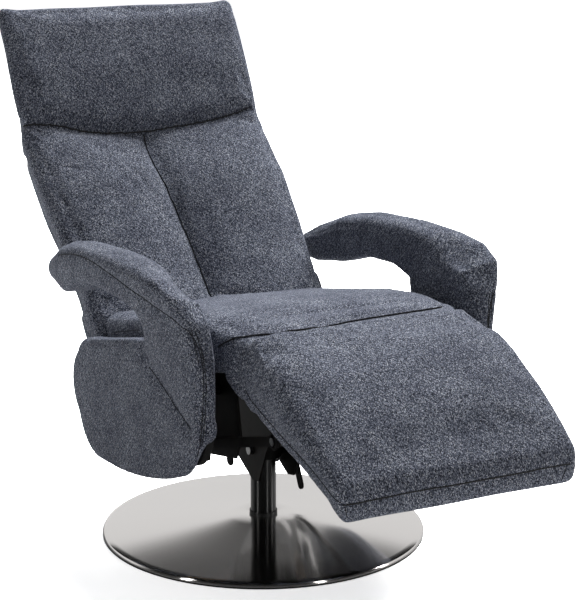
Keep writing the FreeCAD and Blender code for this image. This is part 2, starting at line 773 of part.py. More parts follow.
# Push rods from the back's levers to the leg rest's; the front eye is an upright slot.
rod_frame = (ROD_REAR[0], ROD_REAR[1], "0")
rod_end = (f"{ROD_FRONT[0]} - {ROD_REAR[0]}", f"{ROD_FRONT[1]} - {ROD_REAR[1]}")
for side_name, side in SIDES:
    bar = link_plate(f"rod_bar_{side_name}", rod_frame, side, rod_x, "plate_thick", ("0", "0"), rod_end,
                     "rod_half")
    low_x = near_x(side, rod_x, "plate_thick")
    high_x = f"{low_x} + plate_thick"
    eye = bar_x(f"rod_eye_{side_name}", "rod_eye", rod_frame, low_x, high_x, *rod_end)
    rear_bore = bar_x(f"rod_rear_bore_{side_name}", "small_pin_radius + turn_gap", rod_frame, low_x,
                      high_x, "0", "0")
    slot_centre = (f"{rod_end[0]} + eye_slot_shift", f"{rod_end[1]} + eye_slot_rise")
    slot = link_plate(f"rod_slot_{side_name}", rod_frame, side, rod_x, "plate_thick",
                      (slot_centre[0], f"{slot_centre[1]} - eye_slot_half + eye_slack"),
                      (slot_centre[0], f"{slot_centre[1]} + eye_slot_half - eye_slack"),
                      "small_pin_radius + eye_slack")
    label = f"drive_rod_{side_name}"
    blank = joined(f"{label}_blank", bar, eye)
    keep(label, cut(label, blank, group(f"rod_bores_{side_name}", [rear_bore, slot])))

# Headrest hinges: plates on the back's panel, brackets on the headrest's, and a pin through each pair.
back_board_near = "back_rear - back_board_cover - board_thick"
hinge_in_back = ("-head_out", "head_at")
hinge_root = (f"{back_board_near} - link_half", "head_at - head_hinge_length")
bracket_tip = ("0", "head_hinge_length")
head_bracket_x = "head_hinge_x + plate_thick + soft_gap"
hinge_pins = []
for side_name, side in SIDES:
    label = f"head_hinge_plate_{side_name}"
    keep(label, link_plate(label, BACK, side, "head_hinge_x", "plate_thick", hinge_root, hinge_in_back,
                           "link_half", ((hinge_in_back, "pin_radius"),)))
    label = f"head_bracket_{side_name}"
    keep(label, link_plate(label, HEAD, side, head_bracket_x, "plate_thick", ("0", "0"), bracket_tip,
                           "link_half", ((("0", "0"), running_hole),)))
    hinge_pins.append(headed_pin(f"head_pin_{side_name}", "pin_radius", HEAD, side, "head_hinge_x",
                                 "2 * plate_thick + 2 * soft_gap", "0", "0"))
keep("head_pins", group("head_pins", hinge_pins))

# Panels inside the pads, between the brackets.
def board(label, frame, half, near, far, low, high):
    """A panel and, a little larger all round, the room that it needs in its pad."""
    keep(label, block(label, frame, f"-({half})", half, near, far, low, high))
    return block(f"{label}_room", frame, f"-({half}) - slip_gap", f"{half} + slip_gap",
                 f"{near} - slip_gap", f"{far} + slip_gap", f"{low} - slip_gap", f"{high} + slip_gap")


inside_back = f"{bracket_x} - slip_gap"
inside_leg = f"{leg_bracket_x} - slip_gap"
back_pockets = [board("back_board", BACK, inside_back, back_board_near,
                      f"{back_board_near} + board_thick", "back_roll + board_lead",
                      "head_at - back_board_stop")]
head_pockets = [board("head_board", HEAD, inside_back, "link_half", "link_half + head_board_thick",
                      "head_roll + board_lead", "head_length - head_board_stop")]
leg_pockets = [board("leg_board", LEG, inside_leg, "-leg_board_end", "-leg_board_start",
                     "-leg_board_drop - board_thick / 2", "-leg_board_drop + board_thick / 2")]


def pocket(name, frame, side, near, start, end, radius):
    """The room that a plate needs in a pad, a little larger all round."""
    return link_plate(name, frame, side, f"{near} - soft_gap", "plate_thick + 2 * soft_gap", start, end,
                      f"{radius} + soft_gap")


knee_pockets = []
plate_sweep = "leg_roll + soft_gap"
pin_room = "pin_radius + pin_head_step + soft_gap"
for side_name, side in SIDES:
    knee_pockets.append(pocket(f"knee_pocket_{side_name}", SEAT, side, "rail_outer", plate_root,
                               leg_in_seat, "link_half"))
    leg_pockets.append(pocket(f"leg_arm_pocket_{side_name}", LEG, side, leg_bracket_x, ("0", "0"),
                              leg_arm_end, "link_half"))
    leg_pockets.append(pocket(f"leg_lever_pocket_{side_name}", LEG_LEVER, side, leg_bracket_x,
                              ("0", "0"), ("0", "-leg_lever"), "link_half"))
    low_x = near_x(side, "rail_outer - soft_gap", "plate_thick + 2 * soft_gap + plate_thick")
    leg_pockets.append(block(f"leg_plate_room_{side_name}", LEG, low_x,
                             f"{low_x} + 2 * plate_thick + 2 * soft_gap", "-3 * link_half",
                             plate_sweep, f"-({plate_sweep})", plate_sweep))
    eye_low = near_x(side, f"{rod_x} - soft_gap", "plate_thick + 2 * soft_gap")
    leg_pockets.append(bar_x(f"leg_eye_room_{side_name}", "rod_eye + eye_slot_half + soft_gap",
                             LEG_LEVER, eye_low, f"{eye_low} + plate_thick + 2 * soft_gap", "0",
                             "-leg_lever"))
    pin_low = near_x(side, f"{leg_bracket_x} - soft_gap", "3 * plate_thick")
    leg_pockets.append(bar_x(f"leg_pin_room_{side_name}", pin_room, LEG, pin_low,
                             f"{pin_low} + 3 * plate_thick", "0", "0"))
    back_pockets.append(pocket(f"back_bracket_pocket_{side_name}", BACK, side, bracket_x, ("0", "0"),
                               ("link_half", "back_bracket_length"), "link_half"))
    back_pockets.append(pocket(f"back_drop_pocket_{side_name}", BACK_LEVER, side, bracket_x,
                               ("0", "0"), ("0", f"-({tube_drop})"), "link_half"))
    pin_low = near_x(side, f"{bracket_x} - soft_gap", "4 * plate_thick")
    back_pockets.append(bar_x(f"back_pin_room_{side_name}", pin_room, BACK,
                              pin_low, f"{pin_low} + 4 * plate_thick", "0", "0"))
    back_pockets.append(pocket(f"hinge_pocket_{side_name}", BACK, side, "head_hinge_x", hinge_root,
                               hinge_in_back, "link_half"))
    head_pockets.append(pocket(f"head_bracket_pocket_{side_name}", HEAD, side, head_bracket_x,
                               ("0", "0"), bracket_tip, "link_half"))
    low_x = near_x(side, "head_hinge_x - soft_gap", "plate_thick + 2 * soft_gap")
    head_pockets.append(block(f"hinge_room_{side_name}", HEAD, low_x,
                              f"{low_x} + plate_thick + 2 * soft_gap", "-head_roll - soft_gap",
                              "head_rear + soft_gap", "-head_roll - soft_gap",
                              "link_half + soft_gap"))
    pin_low = near_x(side, "head_hinge_x - soft_gap", "4 * plate_thick")
    head_pockets.append(bar_x(f"head_pin_room_{side_name}", pin_room, HEAD,
                              pin_low, f"{pin_low} + 4 * plate_thick", "0", "0"))
doc.recompute()


# Upholstery. A section lies in a plane, with X across, and is swept along a frame's length.

def rounded_wire(points, radii, bulges):
    """A closed outline: corners as tangent arcs, sides as lines or, where they bulge, arcs."""
    count = len(points)
    arcs = []
    for number, point in enumerate(points):
        before = (points[number - 1] - point).normalize()
        after = (points[(number + 1) % count] - point).normalize()
        half_turn = before.getAngle(after) / 2
        inward = (before + after).normalize()
        radius = radii[number]
        setback = radius / math.tan(half_turn)
        centre = point + inward * (radius / math.sin(half_turn))
        arcs.append((point + before * setback, centre - inward * radius, point + after * setback))
    edges = []
    for number, (start, middle, end) in enumerate(arcs):
        edges.append(Part.Arc(start, middle, end).toShape())
        following = arcs[(number + 1) % count][0]
        bulge = bulges[number]
        if bulge.Length:
            edges.append(Part.Arc(end, (end + following) / 2 + bulge, following).toShape())
        else:
            edges.append(Part.LineSegment(end, following).toShape())
    return Part.Wire(edges)


def cushion_wire(half, front, rear, crown, tuck, corner):
    """A pad's section: front is +Y, with its crown on each half and a tuck in the middle."""
    thick = front + rear
    round_front = min(corner, thick * FRONT_ROUND_LIMIT)
    round_rear = min(corner * REAR_ROUND_SHARE, thick * REAR_ROUND_LIMIT)
    swell = Vector(0, crown, 0)
    still = Vector(0, 0, 0)
    points = [Vector(-half, -rear, 0), Vector(half, -rear, 0), Vector(half, front, 0)]
    radii = [round_rear, round_rear, round_front]
    bulges = [still, still, swell]
    if tuck:
        points.append(Vector(0, front - tuck, 0))
        radii.append(tuck * TUCK_ROUND_SHARE)
        bulges.append(swell)
    points.append(Vector(-half, front, 0))
    radii.append(round_front)
    bulges.append(still)
    return rounded_wire(points, radii, bulges)


def loft(stations, crown, tuck, corner):
    """A pad along +Z through stations of height, half width, front and rear."""
    wires = []
    for height, half, front, rear in stations:
        wire = cushion_wire(half, front, rear, crown, tuck, corner)
        wire.translate(Vector(0, 0, height))
        wires.append(wire)
    return Part.makeLoft(wires, True, True)


def placed(shape, frame, turn):
    """A shape turned from the section's frame and then put in a local frame."""
    at_y, at_z, slope = (value(text) for text in frame)
    shape = shape.copy()
    shape.Placement = Placement(Vector(0, at_y, at_z), Rotation(Vector(1, 0, 0), slope)).multiply(turn)
    return shape


STANDING = Placement(Vector(0, 0, 0), Rotation(Vector(0, 0, 1), 180))
LYING = Placement(Vector(0, 0, 0), Rotation(Vector(1, 0, 0), 90))


def roll(frame, radius, half):
    """A cylinder along X about a local frame's origin."""
    at_y, at_z = value(frame[0]), value(frame[1])
    return Part.makeCylinder(radius, 2 * half, Vector(-half, at_y, at_z), Vector(1, 0, 0))


def swung(shape, frame, angle):
    moved = shape.copy()
    moved.rotate(Vector(0, value(frame[0]), value(frame[1])), Vector(1, 0, 0), angle)
    return moved


def make_room(shape, mover, frame, radius, low, high):
    """Cut a resting shape back from what turns about a local frame's origin between two limits."""
    margin = value("limit_margin")
    span = value(f"{PANEL_FACE} + panel_thick")
    shape = shape.cut(roll(frame, radius + value("soft_gap"), span))
    for angle in (low - margin, high + margin):
        shape = shape.cut(swung(mover, frame, angle))
    return biggest(shape)


def biggest(shape):
    return max(shape.Solids, key=lambda solid: solid.Volume)


corner = value("cushion_corner")
gap = value("soft_gap")

# Leg pad: a roll about the pivot that carries on into a tapering pad.
leg_roll = value("leg_roll")
leg_length = value("leg_length")
crown_height = value("leg_crown_height")
leg_half = value("leg_half")
leg_stations = [(0, leg_half, leg_roll - gap, leg_roll - gap)]
for along, over, under, inset in LEG_PROFILE:
    leg_stations.append((along * leg_length, leg_half - inset, over * crown_height, under * leg_roll))
leg_blank = placed(loft(leg_stations, value("leg_crown"), 0, corner), LEG, LYING)
leg_form = leg_blank.fuse(roll(LEG, leg_roll, leg_half - gap)).removeSplitter()

# Knee pad: carries the seat's front on to the leg rest's roll.
seam_half = value("seam_half")
seam_drop = value("seam_drop")
seat_seam = value("seat_seam")
seat_thick = value("seat_thick")
pivot_ahead = -value(leg_in_seat[0])
pivot_down = -value(leg_in_seat[1])
knee_stations = [
    (seat_seam + value("slip_gap"), seam_half, -seam_drop, seat_thick + seam_drop),
    ((seat_seam + pivot_ahead) / 2, (seam_half + leg_half) / 2, -value("knee_drop"),
     value("knee_depth")),
    (pivot_ahead, leg_half, leg_roll - pivot_down, leg_roll + pivot_down),
]
knee_blank = placed(loft(knee_stations, value("seat_crown") / 2, 0, corner), SEAT, LYING)
knee_form = make_room(knee_blank, leg_form, LEG, leg_roll, -value("leg_raise"), value("leg_fold"))

# Back pad: two crowned halves with a sewn tuck between them, on a roll about the pivot.
back_roll = value("back_roll")
back_face = value("back_face")
back_rear = value("back_rear")
back_half = value("back_half")
back_half_low = value("back_half_low")
head_at = value("head_at")
tuck = value("back_tuck")
back_stations = [(0, back_half_low, back_roll - gap, back_rear)]
for along, widening, filling in BACK_PROFILE:
    back_stations.append((along * head_at, back_half_low + widening * (back_half - back_half_low),
                          back_roll + filling * (back_face - back_roll), back_rear))
back_stations.append((head_at + value("head_roll"), back_half, back_roll, back_rear))
back_blank = placed(loft(back_stations, value("back_crown"), tuck, corner), BACK, STANDING)
back_turn = roll(BACK, back_roll, back_half_low - gap)
turn_box = placed(Part.makeBox(2 * back_half, back_roll + back_rear, 2 * back_roll,
                               Vector(-back_half, -back_rear, -back_roll)), BACK, STANDING)
back_form = back_blank.fuse(back_turn.common(turn_box))

# Head pad.
head_roll = value("head_roll")
head_face = value("head_face")
head_rear = value("head_rear")
head_length = value("head_length")
head_stations = [(0, back_half, head_roll - gap, head_rear)]
for along, face, rear, inset in HEAD_PROFILE:
    head_stations.append((along * head_length, back_half - inset, face * head_face, rear * head_rear))
head_blank = placed(loft(head_stations, value("head_crown"), 0, corner), HEAD, STANDING)
head_form = head_blank.fuse(roll(HEAD, head_roll, back_half - gap)).removeSplitter()

behind_head = placed(Part.makeBox(2 * back_half, 2 * head_rear, head_rear,
                                  Vector(-back_half, -2 * head_rear, 0)), HEAD, STANDING)
head_sweep = head_form.fuse(behind_head)
back_form = make_room(back_form, head_sweep, HEAD, head_roll, -value("head_flat"), value("head_forward"))

# Seat cushion, hollowed behind for the back's roll.
seat_half = value("seat_half")
seat_rear = value("seat_rear")
seat_stations = [
    (-seat_rear, seat_half - SEAT_REAR_INSET, 0, seat_thick),
    (-seat_rear * SEAT_REAR_RUN, seat_half, 0, seat_thick),
]
for along, narrowing, drop in SEAT_PROFILE:
    seat_stations.append((along * seat_seam, seat_half + narrowing * (seam_half - seat_half),
                          -drop * seam_drop, seat_thick))
seat_blank = placed(loft(seat_stations, value("seat_crown"), 0, corner), SEAT, LYING)
seat_form = make_room(seat_blank, back_form, BACK, back_roll, -value("back_yield"), value("back_rise"))


def hollowed(shape, pockets):
    """A pad with its pockets cut out."""
    return biggest(shape.cut([item.Shape for item in pockets]))


soft("seat_cushion", hollowed(seat_form, knee_pockets))
soft("knee_pad", hollowed(knee_form, knee_pockets))
soft("leg_pad", hollowed(leg_form, leg_pockets))
soft("back_pad", hollowed(back_form, back_pockets))
soft("head_pad", hollowed(head_form, head_pockets))


# Arms: a padded loop that starts as a free tip behind and turns down into the side panel.
panel_inner = value(PANEL_FACE)

def arm_wire(number):
    """One section of the left arm, in the plane through X and its edge and underside."""
    size = {field: value(f"arm_{number}_{field}") for field in ARM_FIELDS}
    for field in ("inner", "outer", "under_outer"):
        size[field] += panel_inner
    under_inner = Vector(size["inner"], size["under_y"], size["under_z"])
    under_outer = Vector(size["under_outer"], size["under_y"], size["under_z"])
    edge_outer = Vector(size["outer"], size["edge_y"], size["edge_z"])
    edge_inner = Vector(size["inner"], size["edge_y"], size["edge_z"])
    slim = min(size["under_outer"] - size["inner"], (edge_inner - under_inner).Length)
    edge_round = min(value("arm_corner"), slim * ARM_ROUND_LIMIT)
    under_round = edge_round * REAR_ROUND_SHARE
    swell = (edge_inner - under_inner).normalize() * value("arm_crown")
    still = Vector(0, 0, 0)
    return rounded_wire(
        [under_inner, under_outer, edge_outer, edge_inner],
        [under_round, under_round, edge_round, edge_round],
        [still, still, swell, still])


arm_count = len(ARM_STATIONS)
arm_form = Part.makeLoft([arm_wire(number) for number in range(1, arm_count + 1)], True, True)


def arm_point(number, place):
    return Vector(0, value(f"arm_{number}_{place}_y"), value(f"arm_{number}_{place}_z"))


def panel_outline():
    """The side panel's outline at X = 0: the arm's diagonal foot, then arcs round the outside."""
    foot = [arm_point(number, "under") for number in range(9, arm_count + 1)]
    foot.append(arm_point(arm_count, "edge"))
    bends = [Vector(0, value(f"panel_{number}_y"), value(f"panel_{number}_z"))
             for number in range(1, len(PANEL_BENDS) + 1)]
    edges = [Part.LineSegment(start, end).toShape() for start, end in zip(foot, foot[1:])]
    ends = [foot[-1]] + bends[1::2] + [foot[0]]
    for start, middle, end in zip(ends, bends[0::2], ends[1:]):
        edges.append(Part.Arc(start, middle, end).toShape())
    return Part.Wire(edges)


panel_thick = value("panel_thick")
board_thick = value("panel_board")
outline = panel_outline()
panel_blank = Part.Face(outline).extrude(Vector(panel_thick, 0, 0))
panel_blank.translate(Vector(panel_inner, 0, 0))
outer_edges = [edge for edge in panel_blank.Edges
               if abs(edge.BoundBox.XMin - panel_inner - panel_thick) < TOUCH]
panel_blank = panel_blank.makeFillet(value("panel_round"), outer_edges)
board_outline = outline.makeOffset2D(-value("panel_rim"))
board_form = Part.Face(board_outline).extrude(Vector(board_thick, 0, 0))
board_form.translate(Vector(panel_inner, 0, 0))
panel_form = biggest(panel_blank.cut(board_form))
for side_name, side in SIDES:
    for label, form in (("arm", arm_form), ("side_panel", panel_form), ("side_board", board_form)):
        shape = form.copy() if side > 0 else form.mirror(Vector(0, 0, 0), Vector(1, 0, 0))
        soft(f"{label}_{side_name}", shape)
doc.recompute()

# Every object and every sub-part is checked before anything is written.
for item in doc.Objects:
    if "Invalid" in item.State or "Error" in item.State:
        raise RuntimeError(f"{item.Name}: {item.State}")
for label, item in nodes.items():
    if item.Shape.isNull() or not item.Shape.isValid():
        raise RuntimeError(f"{label} has no valid shape")

os.makedirs("parts", exist_ok=True)
for label, item in nodes.items():
    item.Shape.exportStep(f"parts/{label}.step")
print(len(nodes), "sub-parts")
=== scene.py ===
"""Reclining lounge chair: its looks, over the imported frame.

Metres, +Z up, the chair faces -Y. The frame holds the mechanism; this script grows the woven covers
from the pads' solids, sews their seams, and gives every piece its finish.
"""
import json
import math

import bpy
import numpy as np
from mathutils import Euler, Matrix, Vector
from mathutils.bvhtree import BVHTree


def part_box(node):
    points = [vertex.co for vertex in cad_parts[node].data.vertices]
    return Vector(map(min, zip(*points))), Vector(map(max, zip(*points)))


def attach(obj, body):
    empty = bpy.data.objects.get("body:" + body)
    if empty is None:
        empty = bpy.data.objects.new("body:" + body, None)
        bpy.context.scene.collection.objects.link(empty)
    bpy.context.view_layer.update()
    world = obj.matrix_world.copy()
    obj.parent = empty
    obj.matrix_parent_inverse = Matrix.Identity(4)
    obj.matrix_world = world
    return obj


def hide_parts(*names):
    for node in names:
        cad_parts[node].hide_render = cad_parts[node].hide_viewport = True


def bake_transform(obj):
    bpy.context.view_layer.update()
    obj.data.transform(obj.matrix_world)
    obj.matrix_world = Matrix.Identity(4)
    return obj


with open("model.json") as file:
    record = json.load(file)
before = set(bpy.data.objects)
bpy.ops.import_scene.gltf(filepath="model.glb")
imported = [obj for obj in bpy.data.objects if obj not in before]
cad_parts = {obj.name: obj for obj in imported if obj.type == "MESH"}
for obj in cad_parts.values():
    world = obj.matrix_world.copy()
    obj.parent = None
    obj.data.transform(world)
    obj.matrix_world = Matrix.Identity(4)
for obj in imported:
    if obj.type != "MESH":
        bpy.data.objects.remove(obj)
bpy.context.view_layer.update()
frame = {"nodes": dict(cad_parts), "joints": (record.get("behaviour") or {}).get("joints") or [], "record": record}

MM = 0.001

# The pivots' places come from the frame's joints; the angles, in degrees, are those of the photographed
# pose, and SEAT_TOP is the seat's surface over the column, in metres.
JOINTS = {joint["name"]: joint for joint in frame["joints"]}
BACK_PIVOT = Vector(JOINTS["back_recline"]["pos_m"])
HEAD_PIVOT = Vector(JOINTS["headrest_tilt"]["pos_m"])
LEG_PIVOT = Vector(JOINTS["legrest_fold"]["pos_m"])
BACK_LEAN = 47
HEAD_LEAN = 30.5
SEAT_SLOPE = 11.5
LEG_DROP = 23.5
SEAT_TOP = Vector((0, 0, 0.4575))


def local_frame(origin, turn):
    """Matrix of a frame at origin, turned about X by so many degrees."""
    return Matrix.Translation(origin) @ Matrix.Rotation(math.radians(turn), 4, "X")


BACK = local_frame(BACK_PIVOT, -BACK_LEAN)
HEAD = local_frame(HEAD_PIVOT, -HEAD_LEAN)
SEAT = local_frame(SEAT_TOP, -SEAT_SLOPE)
LEG = local_frame(LEG_PIVOT, LEG_DROP)


def select_only(*objects):
    bpy.ops.object.select_all(action="DESELECT")
    for item in objects:
        item.select_set(True)
    bpy.context.view_layer.objects.active = objects[0]


def apply_modifiers(piece):
    select_only(piece)
    for modifier in list(piece.modifiers):
        bpy.ops.object.modifier_apply(modifier=modifier.name)


def settle(piece):
    """Put a finished piece's place into its mesh."""
    select_only(piece)
    bpy.ops.object.transform_apply(location=True, rotation=True, scale=True)


def points_of(piece):
    places = np.empty(len(piece.data.vertices) * 3)
    piece.data.vertices.foreach_get("co", places)
    return places.reshape(-1, 3)


def move_points(piece, places):
    piece.data.vertices.foreach_set("co", places.ravel())
    piece.data.update()


def normals_of(piece):
    ways = np.empty(len(piece.data.vertices) * 3)
    piece.data.vertices.foreach_get("normal", ways)
    return ways.reshape(-1, 3)


# Materials

def linear(hex_colour):
    """sRGB hex to the linear colour that the shaders use."""
    parts = [int(hex_colour[place:place + 2], 16) / 255 for place in (1, 3, 5)]
    return [part / 12.92 if part <= 0.04045 else ((part + 0.055) / 1.055) ** 2.4 for part in parts] + [1.0]


def set_up(tree, item, settings=None, values=None, links=None):
    """Set up a node: settings are its own properties, values its loose sockets, links what feeds it."""
    for name, setting in (settings or {}).items():
        setattr(item, name, setting)
    for name, amount in (values or {}).items():
        item.inputs[name].default_value = amount
    for name, source in (links or {}).items():
        tree.links.new(source, item.inputs[name])
    return item


def add_node(tree, kind, settings=None, values=None, links=None):
    return set_up(tree, tree.nodes.new(kind), settings, values, links)


def blank_material(name):
    """A new material's tree and its shader."""
    material = bpy.data.materials.new(name)
    material.use_nodes = True
    tree = material.node_tree
    tree.nodes.clear()
    shader = add_node(tree, "ShaderNodeBsdfPrincipled")
    add_node(tree, "ShaderNodeOutputMaterial", links={"Surface": shader.outputs["BSDF"]})
    return material, tree, shader


def ramp(tree, source, stops):
    """A colour ramp through stops of place and hex colour."""
    item = add_node(tree, "ShaderNodeValToRGB", links={"Fac": source})
    band = item.color_ramp
    while len(band.elements) < len(stops):
        band.elements.new(0.5)
    for element, (place, colour) in zip(band.elements, stops):
        element.position = place
        element.color = linear(colour)
    return item.outputs["Color"]


def own_noise(tree, size, detail):
    """Noise in the piece's own space, with a grain of the given size."""
    place = add_node(tree, "ShaderNodeTexCoord")
    item = add_node(tree, "ShaderNodeTexNoise", values={"Scale": 1 / size, "Detail": detail},
                    links={"Vector": place.outputs["Object"]})
    return item.outputs["Fac"]


def bump(tree, height, strength, depth):
    """Normals for a fine relief, so deep."""
    relief = add_node(tree, "ShaderNodeBump", values={"Strength": strength, "Distance": depth},
                      links={"Height": height})
    return relief.outputs["Normal"]


def multiply(tree, share, colour, tone):
    """Darken a colour by a tone, to the given share."""
    item = add_node(tree, "ShaderNodeMix", {"data_type": "RGBA", "blend_type": "MULTIPLY"},
                    {"Factor": share}, {"A": colour, "B": tone})
    return item.outputs["Result"]


def map_range(tree, source, low, high, start=0.0, end=1.0, kind="LINEAR"):
    """From low to high, as the source goes from start to end."""
    item = add_node(tree, "ShaderNodeMapRange", {"interpolation_type": kind},
                    {"From Min": start, "From Max": end, "To Min": low, "To Max": high}, {"Value": source})
    return item.outputs["Result"]


def draw_round(tree, shader, strength):
    """Draw highlights out, as marks from turning round Z do."""
    around = add_node(tree, "ShaderNodeTangent", {"direction_type": "RADIAL", "axis": "Z"})
    set_up(tree, shader, values={"Anisotropic": strength, "Anisotropic Rotation": 0.25},
           links={"Tangent": around.outputs["Tangent"]})


def woven_melange():
    """Woven polyester melange: blue-grey yarns with pale and black flecks, matt, with a soft fuzz.

    The real yarns stand about 1.2 mm apart; they are drawn at 1.25 mm, as fine as the render can show.
    """
    yarn, twill, cloud, slub = 1.25 * MM, 5.0 * MM, 70 * MM, 7
    material, tree, shader = blank_material("woven_melange")
    chart = add_node(tree, "ShaderNodeUVMap", {"uv_map": "weave"}).outputs["UV"]
    cells = add_node(tree, "ShaderNodeMapping", links={"Vector": chart},
                     values={"Scale": (1 / yarn, 0.8 / yarn, 1)})
    flecks = add_node(tree, "ShaderNodeTexVoronoi", {"voronoi_dimensions": "2D"},
                      {"Scale": 1.0, "Randomness": 0.45}, {"Vector": cells.outputs["Vector"]})
    shade = add_node(tree, "ShaderNodeSeparateColor", links={"Color": flecks.outputs["Color"]})
    colour = ramp(tree, shade.outputs["Red"], (
        (0.0, "#1F2228"), (0.22, "#3A3E48"), (0.48, "#5C616E"), (0.72, "#7C818F"), (0.90, "#A2A7B4"),
        (0.98, "#D2D5DB")))
    # Thick and thin places along the yarns, soft clouds of dye, and the twill's diagonal ribs.
    slubs = add_node(tree, "ShaderNodeMapping", links={"Vector": chart},
                     values={"Scale": (1 / yarn, 1 / (slub * yarn), 1)})
    streaks = add_node(tree, "ShaderNodeTexNoise", {"noise_dimensions": "2D"},
                       {"Scale": 1.0, "Detail": 2.0}, {"Vector": slubs.outputs["Vector"]})
    clouds = add_node(tree, "ShaderNodeTexNoise", {"noise_dimensions": "2D"},
                      {"Scale": 1 / cloud, "Detail": 3.0}, {"Vector": chart})
    ribs = add_node(tree, "ShaderNodeTexWave", {"bands_direction": "DIAGONAL"},
                    {"Scale": math.pi / (10 * twill), "Distortion": 1.2, "Detail": 1.0,
                     "Detail Scale": 1 / (6 * MM)}, {"Vector": chart})
    for pattern, share, stops in ((streaks, 0.25, ((0.35, "#9A9A9A"), (0.65, "#FFFFFF"))),
                                  (clouds, 1.0, ((0.3, "#DADADE"), (0.7, "#FFFFFF"))),
                                  (ribs, 1.0, ((0.2, "#E4E4E6"), (0.8, "#FFFFFF")))):
        colour = multiply(tree, share, colour, ramp(tree, pattern.outputs["Fac"], stops))
    round_yarn = add_node(tree, "ShaderNodeMath", {"operation": "SUBTRACT"}, {0: 1.0},
                          {1: flecks.outputs["Distance"]})
    set_up(tree, shader, values={"Roughness": 0.92, "Specular IOR Level": 0.18, "Sheen Weight": 0.16,
                                 "Sheen Roughness": 0.45, "Sheen Tint": linear("#AEB6C6")},
           links={"Base Color": colour, "Normal": bump(tree, round_yarn.outputs["Value"], 0.25, 0.4 * MM)})
    return material


def seam_thread():
    """Bonded polyester sewing thread, near black, sunk in its seam: matt with a faint twist. Its near-black tube,
    wider than real thread, is also painted shade of the seam's gap.
    """
    material, tree, shader = blank_material("seam_thread")
    twist = own_noise(tree, 1.5 * MM, 2.0)
    set_up(tree, shader, values={"Roughness": 0.8},
           links={"Base Color": ramp(tree, twist, ((0.35, "#0C0D10"), (0.7, "#1A1C22")))})
    return material


def spun_stainless():
    """Stainless steel sheet, spun on a lathe and brushed: fine rings that draw highlights out in fans."""
    groove = 0.7 * MM
    material, tree, shader = blank_material("spun_stainless")
    place = add_node(tree, "ShaderNodeTexCoord")
    parts = add_node(tree, "ShaderNodeSeparateXYZ", links={"Vector": place.outputs["Object"]})
    flat = add_node(tree, "ShaderNodeCombineXYZ",
                    links={"X": parts.outputs["X"], "Y": parts.outputs["Y"]})
    reach = add_node(tree, "ShaderNodeVectorMath", {"operation": "LENGTH"},
                     links={0: flat.outputs["Vector"]})
    line = add_node(tree, "ShaderNodeCombineXYZ", links={"X": reach.outputs["Value"]})
    rings = add_node(tree, "ShaderNodeTexNoise", values={"Scale": 1 / groove, "Detail": 3.0},
                     links={"Vector": line.outputs["Vector"]}).outputs["Fac"]
    set_up(tree, shader, values={"Metallic": 1.0},
           links={"Base Color": ramp(tree, rings, ((0.3, "#BDBAB8"), (0.7, "#D2CFCD"))),
                  "Roughness": map_range(tree, rings, 0.12, 0.15)})
    draw_round(tree, shader, 0.95)
    return material


def coated_steel():
    """Black powder-coated steel: an orange-peel skin, with dust in a coarser pattern."""
    material, tree, shader = blank_material("black_coated_steel")
    dust, peel = own_noise(tree, 25 * MM, 5.0), own_noise(tree, 1.2 * MM, 1.0)
    set_up(tree, shader, values={"Roughness": 0.55, "Specular IOR Level": 0.1},
           links={"Base Color": ramp(tree, dust, ((0.4, "#040303"), (0.75, "#100C0A"))),
                  "Normal": bump(tree, peel, 0.35, 0.05 * MM)})
    return material


def drawn_enamel():
    """Black stove enamel on a drawn tube: deep black, with thin highlights that run along the tube."""
    material, tree, shader = blank_material("black_enamel_tube")
    cloud = own_noise(tree, 25 * MM, 3.0)
    set_up(tree, shader, values={"Roughness": 0.35},
           links={"Base Color": ramp(tree, cloud, ((0.35, "#070708"), (0.7, "#0E0E10")))})
    draw_round(tree, shader, 0.9)
    return material


def zinc_plate():
    """Bright zinc plate on turned steel: pale, a little blue, with cloudy passivation."""
    material, tree, shader = blank_material("zinc_plate")
    cloud = own_noise(tree, 4 * MM, 3.0)
    set_up(tree, shader, values={"Metallic": 1.0},
           links={"Base Color": ramp(tree, cloud, ((0.35, "#6E7072"), (0.7, "#9C9D9B"))),
                  "Roughness": map_range(tree, cloud, 0.22, 0.4)})
    return material


def speckled(name, dark, pale, grain, roughness, relief_depth):
    """A dull moulded, cast or stained skin with a fine grain of the given size."""
    material, tree, shader = blank_material(name)
    grit = own_noise(tree, grain, 4.0)
    set_up(tree, shader, values={"Roughness": roughness},
           links={"Base Color": ramp(tree, grit, ((0.35, dark), (0.7, pale))),
                  "Normal": bump(tree, grit, 0.5, relief_depth)})
    return material


def birch_plywood():
    """Raw birch plywood: pale wood, its grain along X, and darker pores."""
    material, tree, shader = blank_material("birch_plywood")
    place = add_node(tree, "ShaderNodeTexCoord")
    along = add_node(tree, "ShaderNodeMapping", links={"Vector": place.outputs["Object"]},
                     values={"Scale": (1 / (120 * MM), 1 / (5 * MM), 1 / (5 * MM))})
    grain = add_node(tree, "ShaderNodeTexNoise", values={"Scale": 1.0, "Detail": 6.0, "Distortion": 0.6},
                     links={"Vector": along.outputs["Vector"]})
    set_up(tree, shader, values={"Roughness": 0.7},
           links={"Base Color": ramp(tree, grain.outputs["Fac"], ((0.3, "#A98454"), (0.7, "#D5B98A")))})
    return material


